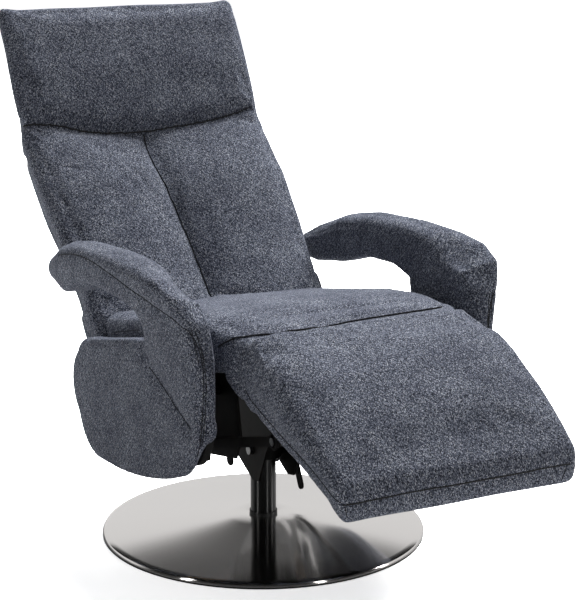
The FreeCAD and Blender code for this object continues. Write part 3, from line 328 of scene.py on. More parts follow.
def webbing_strap():
    """Elastic webbing: black, with pale rubber lines along the strap and ribs across it."""
    rib, line, waves_per_unit = 2 * MM, 6 * MM, 20
    material, tree, shader = blank_material("webbing_strap")
    place = add_node(tree, "ShaderNodeTexCoord")
    ribs, lines = (add_node(tree, "ShaderNodeTexWave", {"bands_direction": direction},
                            {"Scale": 1 / (waves_per_unit * size)}, {"Vector": place.outputs["Object"]})
                   for direction, size in (("X", rib), ("Y", line)))
    set_up(tree, shader, values={"Roughness": 0.85},
           links={"Base Color": ramp(tree, lines.outputs["Fac"], ((0.5, "#17181A"), (0.95, "#3B3C3E"))),
                  "Normal": bump(tree, ribs.outputs["Fac"], 0.5, 0.4 * MM)})
    return material


FABRIC = woven_melange()
SEAM_THREAD_AND_SHADE = seam_thread()
STAINLESS = spun_stainless()
GLOSS_BLACK = drawn_enamel()
BLACK_STEEL = coated_steel()
ZINC = zinc_plate()
RUBBER = speckled("foot_rubber", "#0C0C0C", "#1B1B1B", 1.5 * MM, 0.85, 0.1 * MM)
STAINED_BOARD = speckled("black_stained_plywood", "#070605", "#12100D", 3.0 * MM, 0.7, 0.1 * MM)
PLASTIC = speckled("moulded_polypropylene", "#101012", "#19191B", 0.8 * MM, 0.5, 0.05 * MM)
CAST_IRON = speckled("cast_iron", "#1D1D1E", "#3A3938", 2.0 * MM, 0.7, 0.3 * MM)
PLYWOOD = birch_plywood()
WEBBING = webbing_strap()
FINISHES = {
    "brushed_stainless": STAINLESS,
    "black_rubber": RUBBER,
    "cast_iron": CAST_IRON,
    "gloss_black_steel": GLOSS_BLACK,
    "black_plastic": PLASTIC,
    "zinc_plated_steel": ZINC,
    "plywood": PLYWOOD,
    "elastic_webbing": WEBBING,
    "upholstery": FABRIC,
    "black_steel": BLACK_STEEL,
}


def wear(piece, material):
    piece.data.materials.clear()
    piece.data.materials.append(material)


for part in frame["record"]["subparts"]:
    wear(frame["nodes"][part["node"]], FINISHES[part["material_slot"]])
for board in ("side_board_left", "side_board_right"):
    wear(frame["nodes"][board], STAINED_BOARD)


# Covers: each grows from the solids of the pads that it stands for.

def copy_solids(name, *nodes):
    """Copies of solids, joined into one object."""
    copies = []
    for node in nodes:
        twin = frame["nodes"][node].copy()
        twin.data = frame["nodes"][node].data.copy()
        twin.parent = None
        twin.matrix_world = Matrix.Identity(4)
        for key in list(twin.keys()):
            del twin[key]
        bpy.context.scene.collection.objects.link(twin)
        copies.append(twin)
    select_only(*copies)
    if len(copies) > 1:
        bpy.ops.object.join()
    piece = bpy.context.view_layer.objects.active
    piece.name = name
    piece.data.name = name
    piece.hide_render = piece.hide_viewport = False
    bpy.ops.object.mode_set(mode="EDIT")
    bpy.ops.mesh.select_all(action="SELECT")
    bpy.ops.mesh.remove_doubles(threshold=0.02 * MM)
    bpy.ops.object.mode_set(mode="OBJECT")
    return piece


def stuff(piece, place, low, high):
    """Fill a pocket in a pad's solid: a block between two corners of a local frame joins the piece."""
    low, high = Vector(low), Vector(high)
    centre = (low + high) / 2
    bpy.ops.object.select_all(action="DESELECT")
    bpy.ops.mesh.primitive_cube_add(size=1, location=place @ centre, rotation=place.to_euler())
    block = bpy.context.active_object
    block.scale = high - low
    settle(block)
    select_only(piece, block)
    bpy.ops.object.join()


def skin(piece, voxel, rounds):
    """One closed, even skin round everything in the piece, smoothed."""
    select_only(piece)
    piece.data.remesh_voxel_size = voxel
    piece.data.remesh_voxel_adaptivity = 0
    bpy.ops.object.voxel_remesh()
    smooth = piece.modifiers.new("smooth", "SMOOTH")
    smooth.factor = 0.5
    smooth.iterations = rounds
    apply_modifiers(piece)


def distance_to_line(places, line):
    """Distance from each place to a polyline."""
    near = np.full(len(places), 1e9)
    for start, end in zip(line, line[1:]):
        way = end - start
        share = np.clip(((places - start) @ way) / max(way @ way, 1e-12), 0, 1)
        gap = np.linalg.norm(places - start - share[:, None] * way, axis=1)
        near = np.minimum(near, gap)
    return near


def puff(piece, most, held_lines):
    """Blow the cover up like a stuffed pad, held at its seams; no point moves in, or out by over most."""
    pressure, held_width, frames = 4.0, 0.012, 15
    rest = points_of(piece)
    group = piece.vertex_groups.new(name="sewn")
    weight = np.zeros(len(rest))
    for line in held_lines:
        weight = np.maximum(weight, 1 - np.clip(distance_to_line(rest, line) / held_width, 0, 1))
    for number in np.nonzero(weight > 0.02)[0]:
        group.add([int(number)], float(weight[number]), "REPLACE")
    cloth = piece.modifiers.new("cloth", "CLOTH")
    settings = cloth.settings
    settings.quality = 5
    settings.mass = 0.35
    settings.tension_stiffness = settings.compression_stiffness = 25
    settings.shear_stiffness = 12
    settings.bending_stiffness = 4
    settings.use_pressure = True
    settings.uniform_pressure_force = pressure
    settings.effector_weights.gravity = 0
    settings.vertex_group_mass = group.name
    cloth.collision_settings.use_collision = False
    scene = bpy.context.scene
    for number in range(1, frames + 1):
        scene.frame_set(number)
    shown = piece.evaluated_get(bpy.context.evaluated_depsgraph_get())
    blown = np.empty(len(rest) * 3)
    shown.data.vertices.foreach_get("co", blown)
    move = blown.reshape(-1, 3) - rest
    outward = normals_of(piece)
    drawn_in = np.minimum((move * outward).sum(axis=1), 0)
    move -= outward * drawn_in[:, None]
    length = np.linalg.norm(move, axis=1)
    move *= (np.minimum(length, most) / np.maximum(length, 1e-9))[:, None]
    piece.modifiers.remove(cloth)
    piece.vertex_groups.remove(group)
    move_points(piece, rest + move)
    scene.frame_set(1)


def refine(piece):
    """One level of subdivision, and smooth shading."""
    finer = piece.modifiers.new("finer", "SUBSURF")
    finer.levels = finer.render_levels = 1
    apply_modifiers(piece)
    bpy.ops.object.shade_smooth()


def press(piece, line, depth, width):
    """Push the cover in along a line (a negative depth raises it), fading out over the width."""
    places = points_of(piece)
    reach = 3 * width
    close = np.nonzero(np.all((places > line.min(axis=0) - reach) & (places < line.max(axis=0) + reach),
                              axis=1))[0]
    amount = depth * np.exp(-(distance_to_line(places[close], line) / width) ** 2)
    places[close] -= normals_of(piece)[close] * amount[:, None]
    move_points(piece, places)


def surface_of(piece):
    return BVHTree.FromObject(piece, bpy.context.evaluated_depsgraph_get())


def seam_route(piece, stops, lift=0.0):
    """A smooth route over the cover through stops, each in the world's frame, lifted so far off it."""
    step = 6 * MM
    stops = [Vector(stop) for stop in stops]
    tree = surface_of(piece)
    ends = [2 * stops[0] - stops[1]] + stops + [2 * stops[-1] - stops[-2]]
    route = []
    for before, start, end, after in zip(ends, ends[1:], ends[2:], ends[3:]):
        count = max(2, int((end - start).length / step))
        for number in range(count):
            share = number / count
            bend = 0.5 * (2 * start + (end - before) * share
                          + (2 * before - 5 * start + 4 * end - after) * share ** 2
                          + (3 * start - before - 3 * end + after) * share ** 3)
            route.append(bend)
    route.append(stops[-1])
    found = [tree.find_nearest(point) for point in route]
    return np.array([place + lift * way for place, way, *_ in found])


def thread_along(name, route, radius):
    """A thin tube of thread that follows a route; its dark colour is the thread and painted shade in the seam's
    gap.
    """
    curve = bpy.data.curves.new(name, "CURVE")
    curve.dimensions = "3D"
    curve.bevel_depth = radius
    curve.bevel_resolution = 1
    spline = curve.splines.new("POLY")
    spline.points.add(len(route) - 1)
    for point, place in zip(spline.points, route):
        point.co = (*place, 1)
    lace = bpy.data.objects.new(name, curve)
    bpy.context.scene.collection.objects.link(lace)
    select_only(lace)
    bpy.ops.object.convert(target="MESH")
    lace = bpy.context.active_object
    bpy.ops.object.shade_smooth()
    wear(lace, SEAM_THREAD_AND_SHADE)
    return lace


def chart_weave(piece, place):
    """UVs in metres for the weave: each face is charted along its pad's own length and width."""
    mesh = piece.data
    chart = mesh.uv_layers.new(name="weave")
    back = np.array(place.inverted())
    places = points_of(piece) @ back[:3, :3].T + back[:3, 3]
    count = len(mesh.polygons)
    ways = np.empty(count * 3)
    mesh.polygons.foreach_get("normal", ways)
    ways = np.abs(ways.reshape(-1, 3) @ back[:3, :3].T)
    # Faces between two charts go with the side one a little sooner.
    ways[:, 0] *= 1.05
    facing = np.argmax(ways, axis=1)
    corners = np.empty(len(mesh.loops), dtype=np.int64)
    mesh.loops.foreach_get("vertex_index", corners)
    totals = np.empty(count, dtype=np.int64)
    mesh.polygons.foreach_get("loop_total", totals)
    side = np.repeat(facing, totals)
    at = places[corners]
    across = np.where(side == 0, at[:, 1], at[:, 0])
    along = np.where(side == 2, at[:, 1], at[:, 2])
    chart.data.foreach_set("uv", np.stack([across, along], axis=1).ravel())


camera_data = bpy.data.cameras.new("camera")
camera = bpy.data.objects.new("camera", camera_data)
bpy.context.scene.collection.objects.link(camera)
camera.location = (-1.58333, -3.11172, 1.29509)
camera.rotation_euler = (math.radians(90 - 13.401), 0, math.radians(-27.811))
camera_data.lens = 112.46
camera_data.sensor_width = 36
camera_data.clip_end = 50
bpy.context.scene.camera = camera

# The photograph's frame, for seams that are placed as they are seen in it.
PHOTO_WIDE, PHOTO_HIGH = 579, 600
PHOTO_FOCUS = camera_data.lens / camera_data.sensor_width * PHOTO_HIGH
LOOK = Euler(camera.rotation_euler).to_matrix()


def seen(piece, pixels, other_side=1):
    """Places on the piece behind these pixels of the photograph, or (-1) behind their mirror images."""
    tree = surface_of(piece)
    eye = Vector(camera.location)
    eye.x *= other_side
    places = []
    for across, down in pixels:
        way = LOOK @ Vector(((across - PHOTO_WIDE / 2) / PHOTO_FOCUS,
                             -(down - PHOTO_HIGH / 2) / PHOTO_FOCUS, -1))
        way.x *= other_side
        place = tree.ray_cast(eye, way.normalized())[0]
        if place is not None:
            places.append(place)
    return places


def seen_route(piece, pixels, other_side=1):
    return seam_route(piece, seen(piece, pixels, other_side))


def groove(piece, route, depth, width):
    """A sewn line: the cover dips to it softly, and more sharply close to the stitches."""
    press(piece, route, depth * 0.55, width)
    press(piece, route, depth * 0.45, width * 0.35)


def sew(piece, name, route, depth, width, radius, proud=0.5):
    """Groove the cover along a route and lay the thread in it, its middle so many radii off the cloth."""
    route = seam_route(piece, [*route[:-1:6], route[-1]])
    groove(piece, route, depth, width)
    return thread_along(name, seam_route(piece, [*route[:-1:3], route[-1]], lift=proud * radius), radius)


def ripple(piece, size, amount):
    """Uneven filling: the cover swells and dips a little, in soft waves of about this size."""
    places = points_of(piece)
    wave = np.zeros(len(places))
    for number, (way, phase) in enumerate((((1.0, 0.31, 0.17), 0.4), ((0.22, 1.0, 0.43), 1.9),
                                           ((0.37, 0.26, 1.0), 3.1), ((0.81, -0.64, 0.52), 4.4),
                                           ((-0.55, 0.72, 0.83), 5.6))):
        wave += np.sin(places @ np.array(way) * (2 * math.pi / size) * (1 + 0.17 * number) + phase)
    move_points(piece, places + normals_of(piece) * (wave * amount / 5)[:, None])


def fade(amount, start, end):
    """0 before start, 1 past end, and an even, soft rise between; end may lie below start."""
    share = np.clip((amount - start) / (end - start), 0, 1)
    return share * share * (3 - 2 * share)


def mix(first, second, share):
    return first + (second - first) * share


def in_frame(piece, place):
    """The piece's points in a local frame."""
    back = np.array(place.inverted())
    return points_of(piece) @ back[:3, :3].T + back[:3, 3]


def set_in_frame(piece, place, places):
    whole = np.array(place)
    move_points(piece, places @ whole[:3, :3].T + whole[:3, 3])


def pull_to(piece, corner, way, reach, falloff):
    """Draw the cover out to a point at a corner."""
    places = points_of(piece)
    near = np.linalg.norm(places - np.array(corner), axis=1)
    move_points(piece, places + np.array(way) * (reach * np.exp(-(near / falloff) ** 2))[:, None])


# Sizes that several pieces share: the skins' grain, and the threads' radii. The thicker threads are drawn wider
# than real thread: their dark tubes are thread and painted shade of the seams' gaps.
PAD_VOXEL, SIDE_VOXEL = 7 * MM, 5 * MM
THICK_THREAD, MIDDLE_THREAD, FINE_THREAD, HAIR_THREAD = 1.5 * MM, 1.2 * MM, 0.8 * MM, 0.7 * MM


# Back and headrest: one cover over both pads, bending where they meet.
back_cover = copy_solids("back_and_headrest_cover", "back_pad", "head_pad")
for place, low, high in ((BACK, (-0.215, -0.050, 0.000), (0.215, 0.029, 0.415)),
                         (HEAD, (-0.262, -0.026, -0.030), (0.262, 0.030, 0.030)),
                         (BACK, (-0.262, -0.040, 0.380), (0.262, 0.029, 0.462)),
                         (HEAD, (-0.262, 0.000, -0.050), (0.262, 0.042, 0.020)),
                         (HEAD, (-0.215, -0.024, 0.000), (0.215, 0.010, 0.260)),
                         (BACK, (-0.259, -0.045, -0.035), (-0.235, 0.022, 0.060)),
                         (BACK, (0.235, -0.045, -0.035), (0.259, 0.022, 0.060))):
    stuff(back_cover, place, low, high)
skin(back_cover, PAD_VOXEL, 6)
HEAD_SEAM_SEEN = ((20.4, 127.5), (26.5, 126), (41.8, 123.5), (61, 125.5), (81.6, 129.6), (98, 131.6),
                  (122.4, 132.2), (142.9, 131.6), (163.3, 128.2), (193.9, 122.9), (224.5, 116.3),
                  (238.8, 111.2), (249, 107.5))
CENTRE_SEAM_SEEN = ((145.3, 132.7), (155, 163.3), (173.5, 201), (186.7, 232.7), (199, 263.3), (212.5, 296))
head_seam = seen_route(back_cover, HEAD_SEAM_SEEN)
centre_seam = seen_route(back_cover, CENTRE_SEAM_SEEN)
puff(back_cover, 7 * MM, (head_seam, centre_seam))
refine(back_cover)
# The front edges stay full, where the skin has drawn them in, and the rear ones draw in: by these shares
# of the width. In a pad's frame y runs to the rear and z up the pad.
HEAD_FRONT, HEAD_REAR = 0.026, -0.045
BACK_FRONT, BACK_REAR = 0.030, -0.034
FOOT_FRONT, FOOT_REAR = 0.008, 0.004
x, y, z = in_frame(back_cover, HEAD).T
head_share = fade(z, -0.01, 0.05)
head_wider = HEAD_FRONT * fade(y, 0.005, -0.025) + HEAD_REAR * fade(y, -0.015, 0.03)
places = in_frame(back_cover, BACK)
x, y, z = places.T
foot = fade(z, 0.15, 0.0)
back_wider = (mix(BACK_FRONT, FOOT_FRONT, foot) * fade(y, 0.0, -0.05)
              + mix(BACK_REAR, FOOT_REAR, foot) * fade(y, -0.03, 0.02))
x *= 1 + mix(back_wider, head_wider, head_share)
set_in_frame(back_cover, BACK, places)
ripple(back_cover, 0.21, 1.5 * MM)
# The head and centre seams' dark threads, over 3 mm across, are thread and painted shade in the seam's gap.
back_threads = [sew(back_cover, "head_seam", head_seam, 8 * MM, 15 * MM, 1.6 * MM),
                sew(back_cover, "centre_seam", centre_seam, 6 * MM, 12 * MM, THICK_THREAD)]
# Folds where the head seam meets the edges, and a faint crease below it.
FOLDS_SEEN = (((26, 133), (32, 130), (40, 133)), ((29, 143), (34, 140), (40, 141)),
              ((236, 117), (242, 119), (248, 117)), ((64, 167), (72, 167.5), (82, 169)))
for fold in FOLDS_SEEN:
    press(back_cover, seen_route(back_cover, fold), 1.6 * MM, 4 * MM)
# The head's upper corners stand up in small ears; the one on the sitter's left leans out too.
for side, outward in ((-1, 0.0), (1, 0.5)):
    corner = HEAD @ Vector((side * 0.262, -0.02, 0.300))
    pull_to(back_cover, corner, HEAD.to_3x3() @ Vector((side * outward, 0, 0.87)), 6 * MM, 28 * MM)
chart_weave(back_cover, BACK)
wear(back_cover, FABRIC)

# Seat and leg rest: one cover, from the back's foot over the knee bend to the leg rest's end.
seat_cover = copy_solids("seat_and_legrest_cover", "seat_cushion", "knee_pad", "leg_pad")
for place, low, high in ((SEAT, (-0.222, -0.330, -0.085), (0.222, -0.250, -0.024)),
                         (LEG, (-0.214, -0.020, -0.030), (0.214, 0.050, 0.058)),
                         (LEG, (-0.205, -0.310, -0.022), (0.205, 0.020, 0.020))):
    stuff(seat_cover, place, low, high)
skin(seat_cover, PAD_VOXEL, 5)
SEAT_SEAM_SEEN = ((218.6, 347), (224.2, 342.1), (238.7, 337.7), (255.6, 335.3), (296.7, 330.5), (345, 322.7),
                  (393.4, 314.8), (429.6, 309.4), (441.7, 307))
TOE_SEAM_SEEN = ((343.8, 505.2), (369.2, 501.6), (417.5, 491.9), (465.9, 483.5), (514.2, 475), (550.5, 467.8),
                 (571, 464.6))
seat_seam = seen_route(seat_cover, SEAT_SEAM_SEEN)
toe_seam = seen_route(seat_cover, TOE_SEAM_SEEN)
puff(seat_cover, 6 * MM, (seat_seam, toe_seam))
refine(seat_cover)
# The leg rest's upper edges and its toe stay full; its rear corner on the sitter's right settles.
LEG_WIDER, LEG_WIDER_LEFT = 0.044, 0.068
places = in_frame(seat_cover, LEG)
x, y, z = places.T
leg_wider = mix(LEG_WIDER, LEG_WIDER_LEFT, fade(x, 0.05, 0.15))
x *= 1 + leg_wider * fade(y, 0.02, -0.05) * fade(z, -0.01, 0.04)
settled = fade(x, -0.150, -0.225) * fade(y, -0.26, -0.10) * fade(z, -0.02, 0.04)
z -= 9 * MM * settled
x += 5 * MM * settled
z -= 9 * MM * fade(y, -0.28, -0.33) * fade(z, 0.03, 0.0)
set_in_frame(seat_cover, LEG, places)
ripple(seat_cover, 0.24, 1.2 * MM)
seat_thread = sew(seat_cover, "seat_seam", seen_route(seat_cover, SEAT_SEAM_SEEN), 1.0 * MM, 6 * MM,
                  THICK_THREAD, proud=1.0)
LEG_SIDE_SEEN = ((245, 390), (260, 412), (285, 451), (311, 480), (341, 503))
BOXING_SEEN = ((104, 334), (115, 332), (127, 331), (139, 330))
TOE_CORNERS_SEEN = (((345, 507), (346, 512), (347, 517)), ((566, 468), (564.5, 473), (562.5, 478)))
SIDES = ((1, "right"), (-1, "left"))
toe_threads = [sew(seat_cover, "toe_seam", toe_seam, 2.5 * MM, 7 * MM, MIDDLE_THREAD)]
side_threads = [sew(seat_cover, f"leg_side_seam_{side}", seen_route(seat_cover, LEG_SIDE_SEEN, from_side),
                    1.5 * MM, 5 * MM, FINE_THREAD) for from_side, side in SIDES]
boxing_threads = [sew(seat_cover, f"boxing_seam_{side}", seen_route(seat_cover, BOXING_SEEN, from_side),
                      1.0 * MM, 4 * MM, FINE_THREAD) for from_side, side in SIDES]
for number, corner in enumerate(TOE_CORNERS_SEEN, 1):
    toe_threads.append(sew(seat_cover, f"toe_corner_seam_{number}", seen_route(seat_cover, corner),
                           1.2 * MM, 4 * MM, FINE_THREAD))
chart_weave(seat_cover, LEG)
wear(seat_cover, FABRIC)

# Sides: arm and side panel in one cover, sewn for the sitter's right and mirrored for the left. The
# stretches that fade() spans are metres in the chair's own frame.
side_right = copy_solids("side_cover_right", "arm_right", "side_panel_right", "side_board_right")
PANEL_TOP = local_frame((0, 0.0145, 0.419), -13.3)
stuff(side_right, PANEL_TOP, (-0.298, -0.126, -0.05), (-0.264, 0.126, 0.0))
skin(side_right, SIDE_VOXEL, 5)
places = points_of(side_right)
x, y, z = places.T
# The arm's rear tip draws in from outside as it nears its end.
TIP_START, TIP_RUN, TIP_SLIM, ARM_INNER, PANEL_HIGH = 0.18, 0.20, 0.55, 0.275, 0.42
share = np.clip((y - TIP_START) / TIP_RUN, 0, 1)
slim = np.where(z > PANEL_HIGH, 1 - TIP_SLIM * share ** 2, 1)
x[:] = np.where(x < -ARM_INNER, -ARM_INNER + (x + ARM_INNER) * slim, x)
# Its upper and lower edges round off: arm_high is 0 on the arm's middle line and 1 on its top.
TIP_Y, TIP_MIDDLE = (0.0, 0.10, 0.20, 0.29, 0.35, 0.376), (0.552, 0.545, 0.520, 0.500, 0.490, 0.486)
TIP_HALF, TIP_EDGE, TOP_SLOPE = 0.040, 15 * MM, 0.25
arm_high = (z - np.interp(y, TIP_Y, TIP_MIDDLE)) / TIP_HALF
upper, lower = np.clip(arm_high, 0, 1), np.clip(-arm_high, 0, 1)
on_arm = fade(z, 0.42, 0.44)
near_tip = fade(y, 0.13, 0.31) * on_arm
outness = np.clip((-x - 0.262) / 0.05, 0, 1)
x += TIP_EDGE * near_tip * outness * np.clip(arm_high ** 2, 0, 1.2)
z -= TOP_SLOPE * np.clip(y - 0.20, 0, 1) * on_arm * (1 - outness) * upper
z += (17 * outness - 4) * MM * near_tip * lower
z -= 8 * MM * fade(y, 0.16, 0.28) * outness * upper * on_arm
# The inner edge runs lower round the arm's shoulder than the outer one.
SHOULDER_Y, SHOULDER_Z, SHOULDER_TURN, SHOULDER_SPREAD, SHOULDER_DRAW = -0.12, 0.44, 50, 26, 42 * MM
ahead, above = SHOULDER_Y - y, z - SHOULDER_Z
reach = np.hypot(ahead, above)
turn = np.degrees(np.arctan2(ahead, above))
inner = fade(x, -0.340, -0.268)
draw = (SHOULDER_DRAW * np.exp(-((turn - SHOULDER_TURN) / SHOULDER_SPREAD) ** 2)
        * inner * fade(reach, 0.07, 0.19))
y += draw * ahead / np.maximum(reach, 1e-6)
z -= draw * above / np.maximum(reach, 1e-6)
# Outside, the arm is thinner over the opening, and its foot starts further forward.
outness = np.clip((-x - 0.270) / 0.06, 0, 1)
low_arm = fade(z, 0.41, 0.45) * fade(z, 0.58, 0.52)
y -= 52 * MM * outness * low_arm * fade(y, -0.22, -0.12) * fade(y, 0.04, -0.10)
z += (18 * MM * outness * fade(z, 0.45, 0.48) * fade(z, 0.59, 0.51)
      * fade(y, 0.20, 0.05) * fade(y, -0.24, -0.12))
# Inside, the foot starts further back; its outer front edge is drawn in.
low_inside = (1 - outness) * fade(z, 0.41, 0.45) * fade(z, 0.60, 0.54)
y += 11 * MM * low_inside * fade(y, -0.27, -0.19) * fade(y, -0.04, -0.10)
y += 11 * MM * outness * fade(y, -0.20, -0.30) * fade(z, 0.32, 0.38)
# The panel stands full behind and below; its inner front corner is cut round.
y += 9 * MM * fade(z, 0.42, 0.38) * fade(y, 0.0, 0.15)
z -= 5 * MM * fade(z, 0.30, 0.20)
front_corner = fade(y, -0.20, -0.31) * fade(z, 0.34, 0.27) * fade(x, -0.298, -0.270)
y += 22 * MM * front_corner
z += 14 * MM * front_corner
move_points(side_right, places)
ARM_SEAM_SEEN = ((58.2, 254.9), (71.5, 254), (83.1, 257.4), (94.7, 264), (109.7, 274.8), (126.2, 287.2),
                 (139.5, 296.3), (152.8, 306.3), (169.4, 317.9), (184.3, 327.8), (194.2, 337.8),
                 (199.2, 349.4), (201.7, 362.7), (203.4, 379.3), (203.4, 395.8), (202.5, 412.4), (201.7, 429),
                 (200, 445.6), (197.5, 458))
DART_SEEN = ((142.5, 345), (146.1, 362.7), (154.4, 375.1), (162.7, 387.5), (172.7, 403.3), (181, 415.7),
             (190.1, 429))
arm_seam = seen_route(side_right, ARM_SEAM_SEEN)
dart = seen_route(side_right, DART_SEEN)
puff(side_right, 4 * MM, (arm_seam, dart))
refine(side_right)
ARM_EDGE_SEEN = ((202, 352), (205, 365), (206, 381), (206, 397), (205, 413), (204, 430), (202, 446))
# These two show on the sitter's left side, whose cover is this one's mirror image.
INNER_EDGE_SEEN = (((489.8, 293.7), (488.8, 308), (487.6, 321.5)), ((492.6, 290), (491.8, 305), (490.9, 323)))
PANEL_TOP_SEEN = ((92, 340.5), (105, 340.3), (120, 340), (138, 339.6))
dart_stitched = dart[len(dart) // 5:]
arm_threads = [sew(side_right, "arm_seam_right", arm_seam, 2.2 * MM, 8 * MM, FINE_THREAD),
               sew(side_right, "dart_seam_right", dart_stitched, 2 * MM, 8 * MM, FINE_THREAD),
               sew(side_right, "arm_edge_seam_right", seen_route(side_right, ARM_EDGE_SEEN), 0.8 * MM, 4 * MM,
                   HAIR_THREAD)]
for number, edge in enumerate(INNER_EDGE_SEEN, 1):
    arm_threads.append(sew(side_right, f"inner_edge_seam_{number}_right", seen_route(side_right, edge, -1),
                           0.8 * MM, 4 * MM, HAIR_THREAD))
# The panel's top edge stands up in a low ridge: a press of negative depth.
press(side_right, seen_route(side_right, PANEL_TOP_SEEN), -1.5 * MM, 3.5 * MM)
chart_weave(side_right, Matrix.Identity(4))
wear(side_right, FABRIC)


def mirrored(piece, name):
    """A copy of a piece for the other side, with a mesh of its own."""
    twin = piece.copy()
    twin.data = piece.data.copy()
    twin.name = twin.data.name = name
    bpy.context.scene.collection.objects.link(twin)
    twin.scale = (-1, 1, 1)
    settle(twin)
    bpy.ops.object.mode_set(mode="EDIT")
    bpy.ops.mesh.select_all(action="SELECT")
    bpy.ops.mesh.normals_make_consistent(inside=False)
    bpy.ops.object.mode_set(mode="OBJECT")
    return twin


side_left = mirrored(side_right, "side_cover_left")
left_threads = [mirrored(lace, lace.name.replace("right", "left")) for lace in arm_threads]

# Seat straps: webbing drawn over the two rails, sagging a little under the cushion.
STRAP_WIDE, STRAP_THICK, STRAP_SAG = 60 * MM, 1.7 * MM, 1.5 * MM
for number in (1, 2, 3):
    node = f"seat_strap_{number}"
    low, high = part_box(node)
    length = high.x - low.x
    bpy.ops.object.select_all(action="DESELECT")
    bpy.ops.mesh.primitive_cube_add(size=1, location=(low + high) / 2,
                                    rotation=(math.radians(-SEAT_SLOPE), 0, 0))
    strap = bpy.context.active_object
    strap.name = strap.data.name = f"seat_webbing_{number}"
    strap.scale = (length, STRAP_WIDE, STRAP_THICK)
    settle(strap)
    bpy.ops.object.mode_set(mode="EDIT")
    bpy.ops.mesh.select_all(action="SELECT")
    bpy.ops.mesh.subdivide(number_cuts=15)
    bpy.ops.object.mode_set(mode="OBJECT")
    places = points_of(strap)
    share = places[:, 0] / (length / 2)
    places[:, 2] -= STRAP_SAG * np.clip(1 - share ** 2, 0, 1)
    move_points(strap, places)
    wear(strap, WEBBING)
    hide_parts(node)
    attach(strap, "seat")

# Floor disc: turned round from its outline, as it was spun. The outline gives radius and height, in mm.
DISC_LINE = ((42, 35.2), (70, 32.2), (100, 29.2), (150, 24.6), (200, 20.1), (300, 11.4), (309, 10.5),
             (313, 9.2), (314.8, 6.8), (315, 3))
HOLE, SHEET, UNDER_IN, RIM_FOOT = 25.5 * MM, 2 * MM, 0.6 * MM, (313 * MM, 3 * MM)
low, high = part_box("base_disc")
upper_line = [(HOLE, high.z)] + [(reach * MM, rise * MM) for reach, rise in DISC_LINE]
under_line = [(reach - UNDER_IN, rise - SHEET) for reach, rise in reversed(upper_line[1:-2])]
outline = upper_line + [RIM_FOOT] + under_line + [(HOLE, high.z - SHEET)]
bpy.ops.object.select_all(action="DESELECT")
bpy.ops.mesh.primitive_circle_add(vertices=len(outline))
disc = bpy.context.active_object
disc.name = disc.data.name = "spun_floor_disc"
move_points(disc, np.array([(reach, 0, rise) for reach, rise in outline]))
bpy.ops.object.mode_set(mode="EDIT")
bpy.ops.mesh.select_all(action="SELECT")
bpy.ops.mesh.spin(steps=192, angle=2 * math.pi, center=(0, 0, 0), axis=(0, 0, 1))
bpy.ops.mesh.select_all(action="SELECT")
bpy.ops.mesh.remove_doubles(threshold=0.01 * MM)
bpy.ops.mesh.normals_make_consistent(inside=False)
bpy.ops.object.mode_set(mode="OBJECT")
settle(disc)
bpy.ops.object.shade_smooth_by_angle(angle=math.radians(35))
wear(disc, STAINLESS)
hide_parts("base_disc")
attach(disc, "base")

for piece, covered in ((back_cover, ("back_pad", "head_pad")),
                       (seat_cover, ("seat_cushion", "knee_pad", "leg_pad")),
                       (side_right, ("arm_right", "side_panel_right")),
                       (side_left, ("arm_left", "side_panel_left"))):
    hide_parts(*covered)

# The back's cover and its threads, and the seat's cover and its leg-side threads, get their places baked into
# their meshes and go with no body; the other pieces go with the seat or the leg rest.
head_bent, knee_bent = (back_cover, *back_threads), (seat_cover, *side_threads)
on_seat = (seat_thread, *boxing_threads, side_right, side_left, *arm_threads, *left_threads)
for piece in head_bent:
    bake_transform(piece)
for piece in knee_bent:
    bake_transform(piece)
for piece in on_seat:
    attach(piece, "seat")
for piece in toe_threads:
    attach(piece, "legrest")

# Studio: pale floor, white surroundings, a broad lamp above and a little behind.
TO_CAMERA, TO_RIGHT = Vector((-0.4665, -0.8845, 0)), Vector((0.8845, -0.4665, 0))


def larger(tree, first, second):
    item = add_node(tree, "ShaderNodeMath", {"operation": "MAXIMUM"}, links={0: first, 1: second})
    return item.outputs["Value"]


bpy.ops.object.select_all(action="DESELECT")
bpy.ops.mesh.primitive_plane_add(size=60)
floor = bpy.context.active_object
floor.name = floor.data.name = "floor"
material, tree, shader = blank_material("white_paper_floor")
rays = add_node(tree, "ShaderNodeLightPath")
# The lamp's glare on the paper is kept out of what the metal mirrors.
paper = add_node(tree, "ShaderNodeMix", {"data_type": "RGBA"},
                 {"A": linear("#F2F2F2"), "B": linear("#B8B8B8")}, {"Factor": rays.outputs["Is Glossy Ray"]})
set_up(tree, shader, values={"Roughness": 0.9}, links={"Base Color": paper.outputs["Result"]})
# The camera sees the paper burnt out, as a studio floor is, with only the deepest shadow left.
lit = add_node(tree, "ShaderNodeBsdfDiffuse", values={"Color": (2.6, 2.6, 2.6, 1)})
glow = add_node(tree, "ShaderNodeEmission", values={"Color": (1, 1, 1, 1), "Strength": 0.50})
both = add_node(tree, "ShaderNodeAddShader", links={0: lit.outputs["BSDF"], 1: glow.outputs["Emission"]})
pick = add_node(tree, "ShaderNodeMixShader", links={"Fac": rays.outputs["Is Camera Ray"],
                                                    1: shader.outputs["BSDF"], 2: both.outputs["Shader"]})
output = next(item for item in tree.nodes if item.bl_idname == "ShaderNodeOutputMaterial")
tree.links.new(pick.outputs["Shader"], output.inputs["Surface"])
wear(floor, material)

world = bpy.data.worlds.new("studio")
bpy.context.scene.world = world
world.use_nodes = True
tree = world.node_tree
tree.nodes.clear()
rays = add_node(tree, "ShaderNodeLightPath")
shown = larger(tree, larger(tree, rays.outputs["Is Camera Ray"], rays.outputs["Is Glossy Ray"]),
               rays.outputs["Is Transmission Ray"])
way = add_node(tree, "ShaderNodeTexCoord").outputs["Generated"]
height = add_node(tree, "ShaderNodeSeparateXYZ", links={"Vector": way}).outputs["Z"]
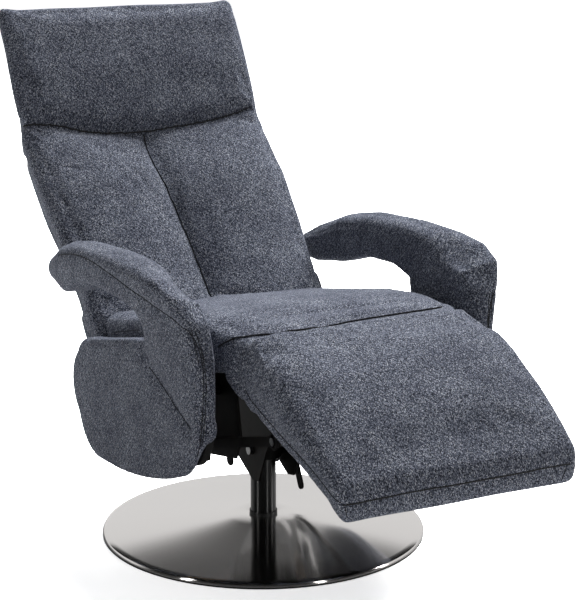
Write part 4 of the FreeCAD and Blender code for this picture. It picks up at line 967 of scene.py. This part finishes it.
# What the metal mirrors: a white wall behind the chair and a pale ceiling, dark between and on the
# camera's side. All other light from the room has the same, low strength.
ROOM_LIGHT = 0.237
wall = map_range(tree, height, 1.0, 0.01, 0.41, 0.46, "SMOOTHSTEP")
away = add_node(tree, "ShaderNodeVectorMath", {"operation": "DOT_PRODUCT"}, {1: -TO_CAMERA}, {0: way})
behind = map_range(tree, away.outputs["Value"], 0.05, 1.0, -0.15, 0.20, "SMOOTHSTEP")
backdrop = add_node(tree, "ShaderNodeMath", {"operation": "MULTIPLY"}, links={0: wall, 1: behind})
ceiling = map_range(tree, height, 0.0, 0.9, 0.85, 0.92, "SMOOTHSTEP")
mirrored_room = larger(tree, backdrop.outputs["Value"], ceiling)
seen_bare = larger(tree, mirrored_room, rays.outputs["Is Camera Ray"])
strength = add_node(tree, "ShaderNodeMix", {"data_type": "FLOAT"}, {2: ROOM_LIGHT},
                    {"Factor": shown, 3: seen_bare})
back_light = add_node(tree, "ShaderNodeBackground", values={"Color": (1, 1, 1, 1)},
                      links={"Strength": strength.outputs[0]})
add_node(tree, "ShaderNodeOutputWorld", links={"Surface": back_light.outputs["Background"]})


def lamp(name, way, far, size, power, matt=True, glossy=True):
    """A soft box so far off in a direction, facing the chair; it may light only one kind of surface."""
    light = bpy.data.lights.new(name, "AREA")
    light.shape = "RECTANGLE"
    light.size, light.size_y = size
    light.energy = power
    item = bpy.data.objects.new(name, light)
    bpy.context.scene.collection.objects.link(item)
    way = Vector(way).normalized()
    item.location = Vector((0, -0.1, 0.2)) + far * way
    item.rotation_euler = way.to_track_quat("Z", "Y").to_euler()
    item.visible_diffuse, item.visible_glossy = matt, glossy


lamp("overhead_box", (0.46, 0.40, 0.79), far=6.5, size=(4.1, 4.1), power=885, glossy=False)
# Small boxes that the spun disc draws out into its pale streaks.
for name, way, wide, power in (("streak_box", (0.466, 0.757, 0.460), 0.12, 0.08),
                               ("faint_streak_left", (0.345, 0.789, 0.508), 0.08, 0.014),
                               ("faint_streak_middle", (0.423, 0.741, 0.521), 0.08, 0.014)):
    lamp(name, way, far=3.0, size=(wide, wide), power=power, matt=False)
# Tall strips on the camera's side, seen as thin lines down the column.
for name, turn in (("strip_left", -53), ("strip_right", 38.6), ("strip_edge", 90)):
    side = TO_CAMERA * math.cos(math.radians(turn)) + TO_RIGHT * math.sin(math.radians(turn))
    lamp(name, side + Vector((0, 0, 0.25)), far=2.5, size=(0.25, 1.0), power=12, matt=False)

bpy.context.scene.view_settings.view_transform = "Standard"
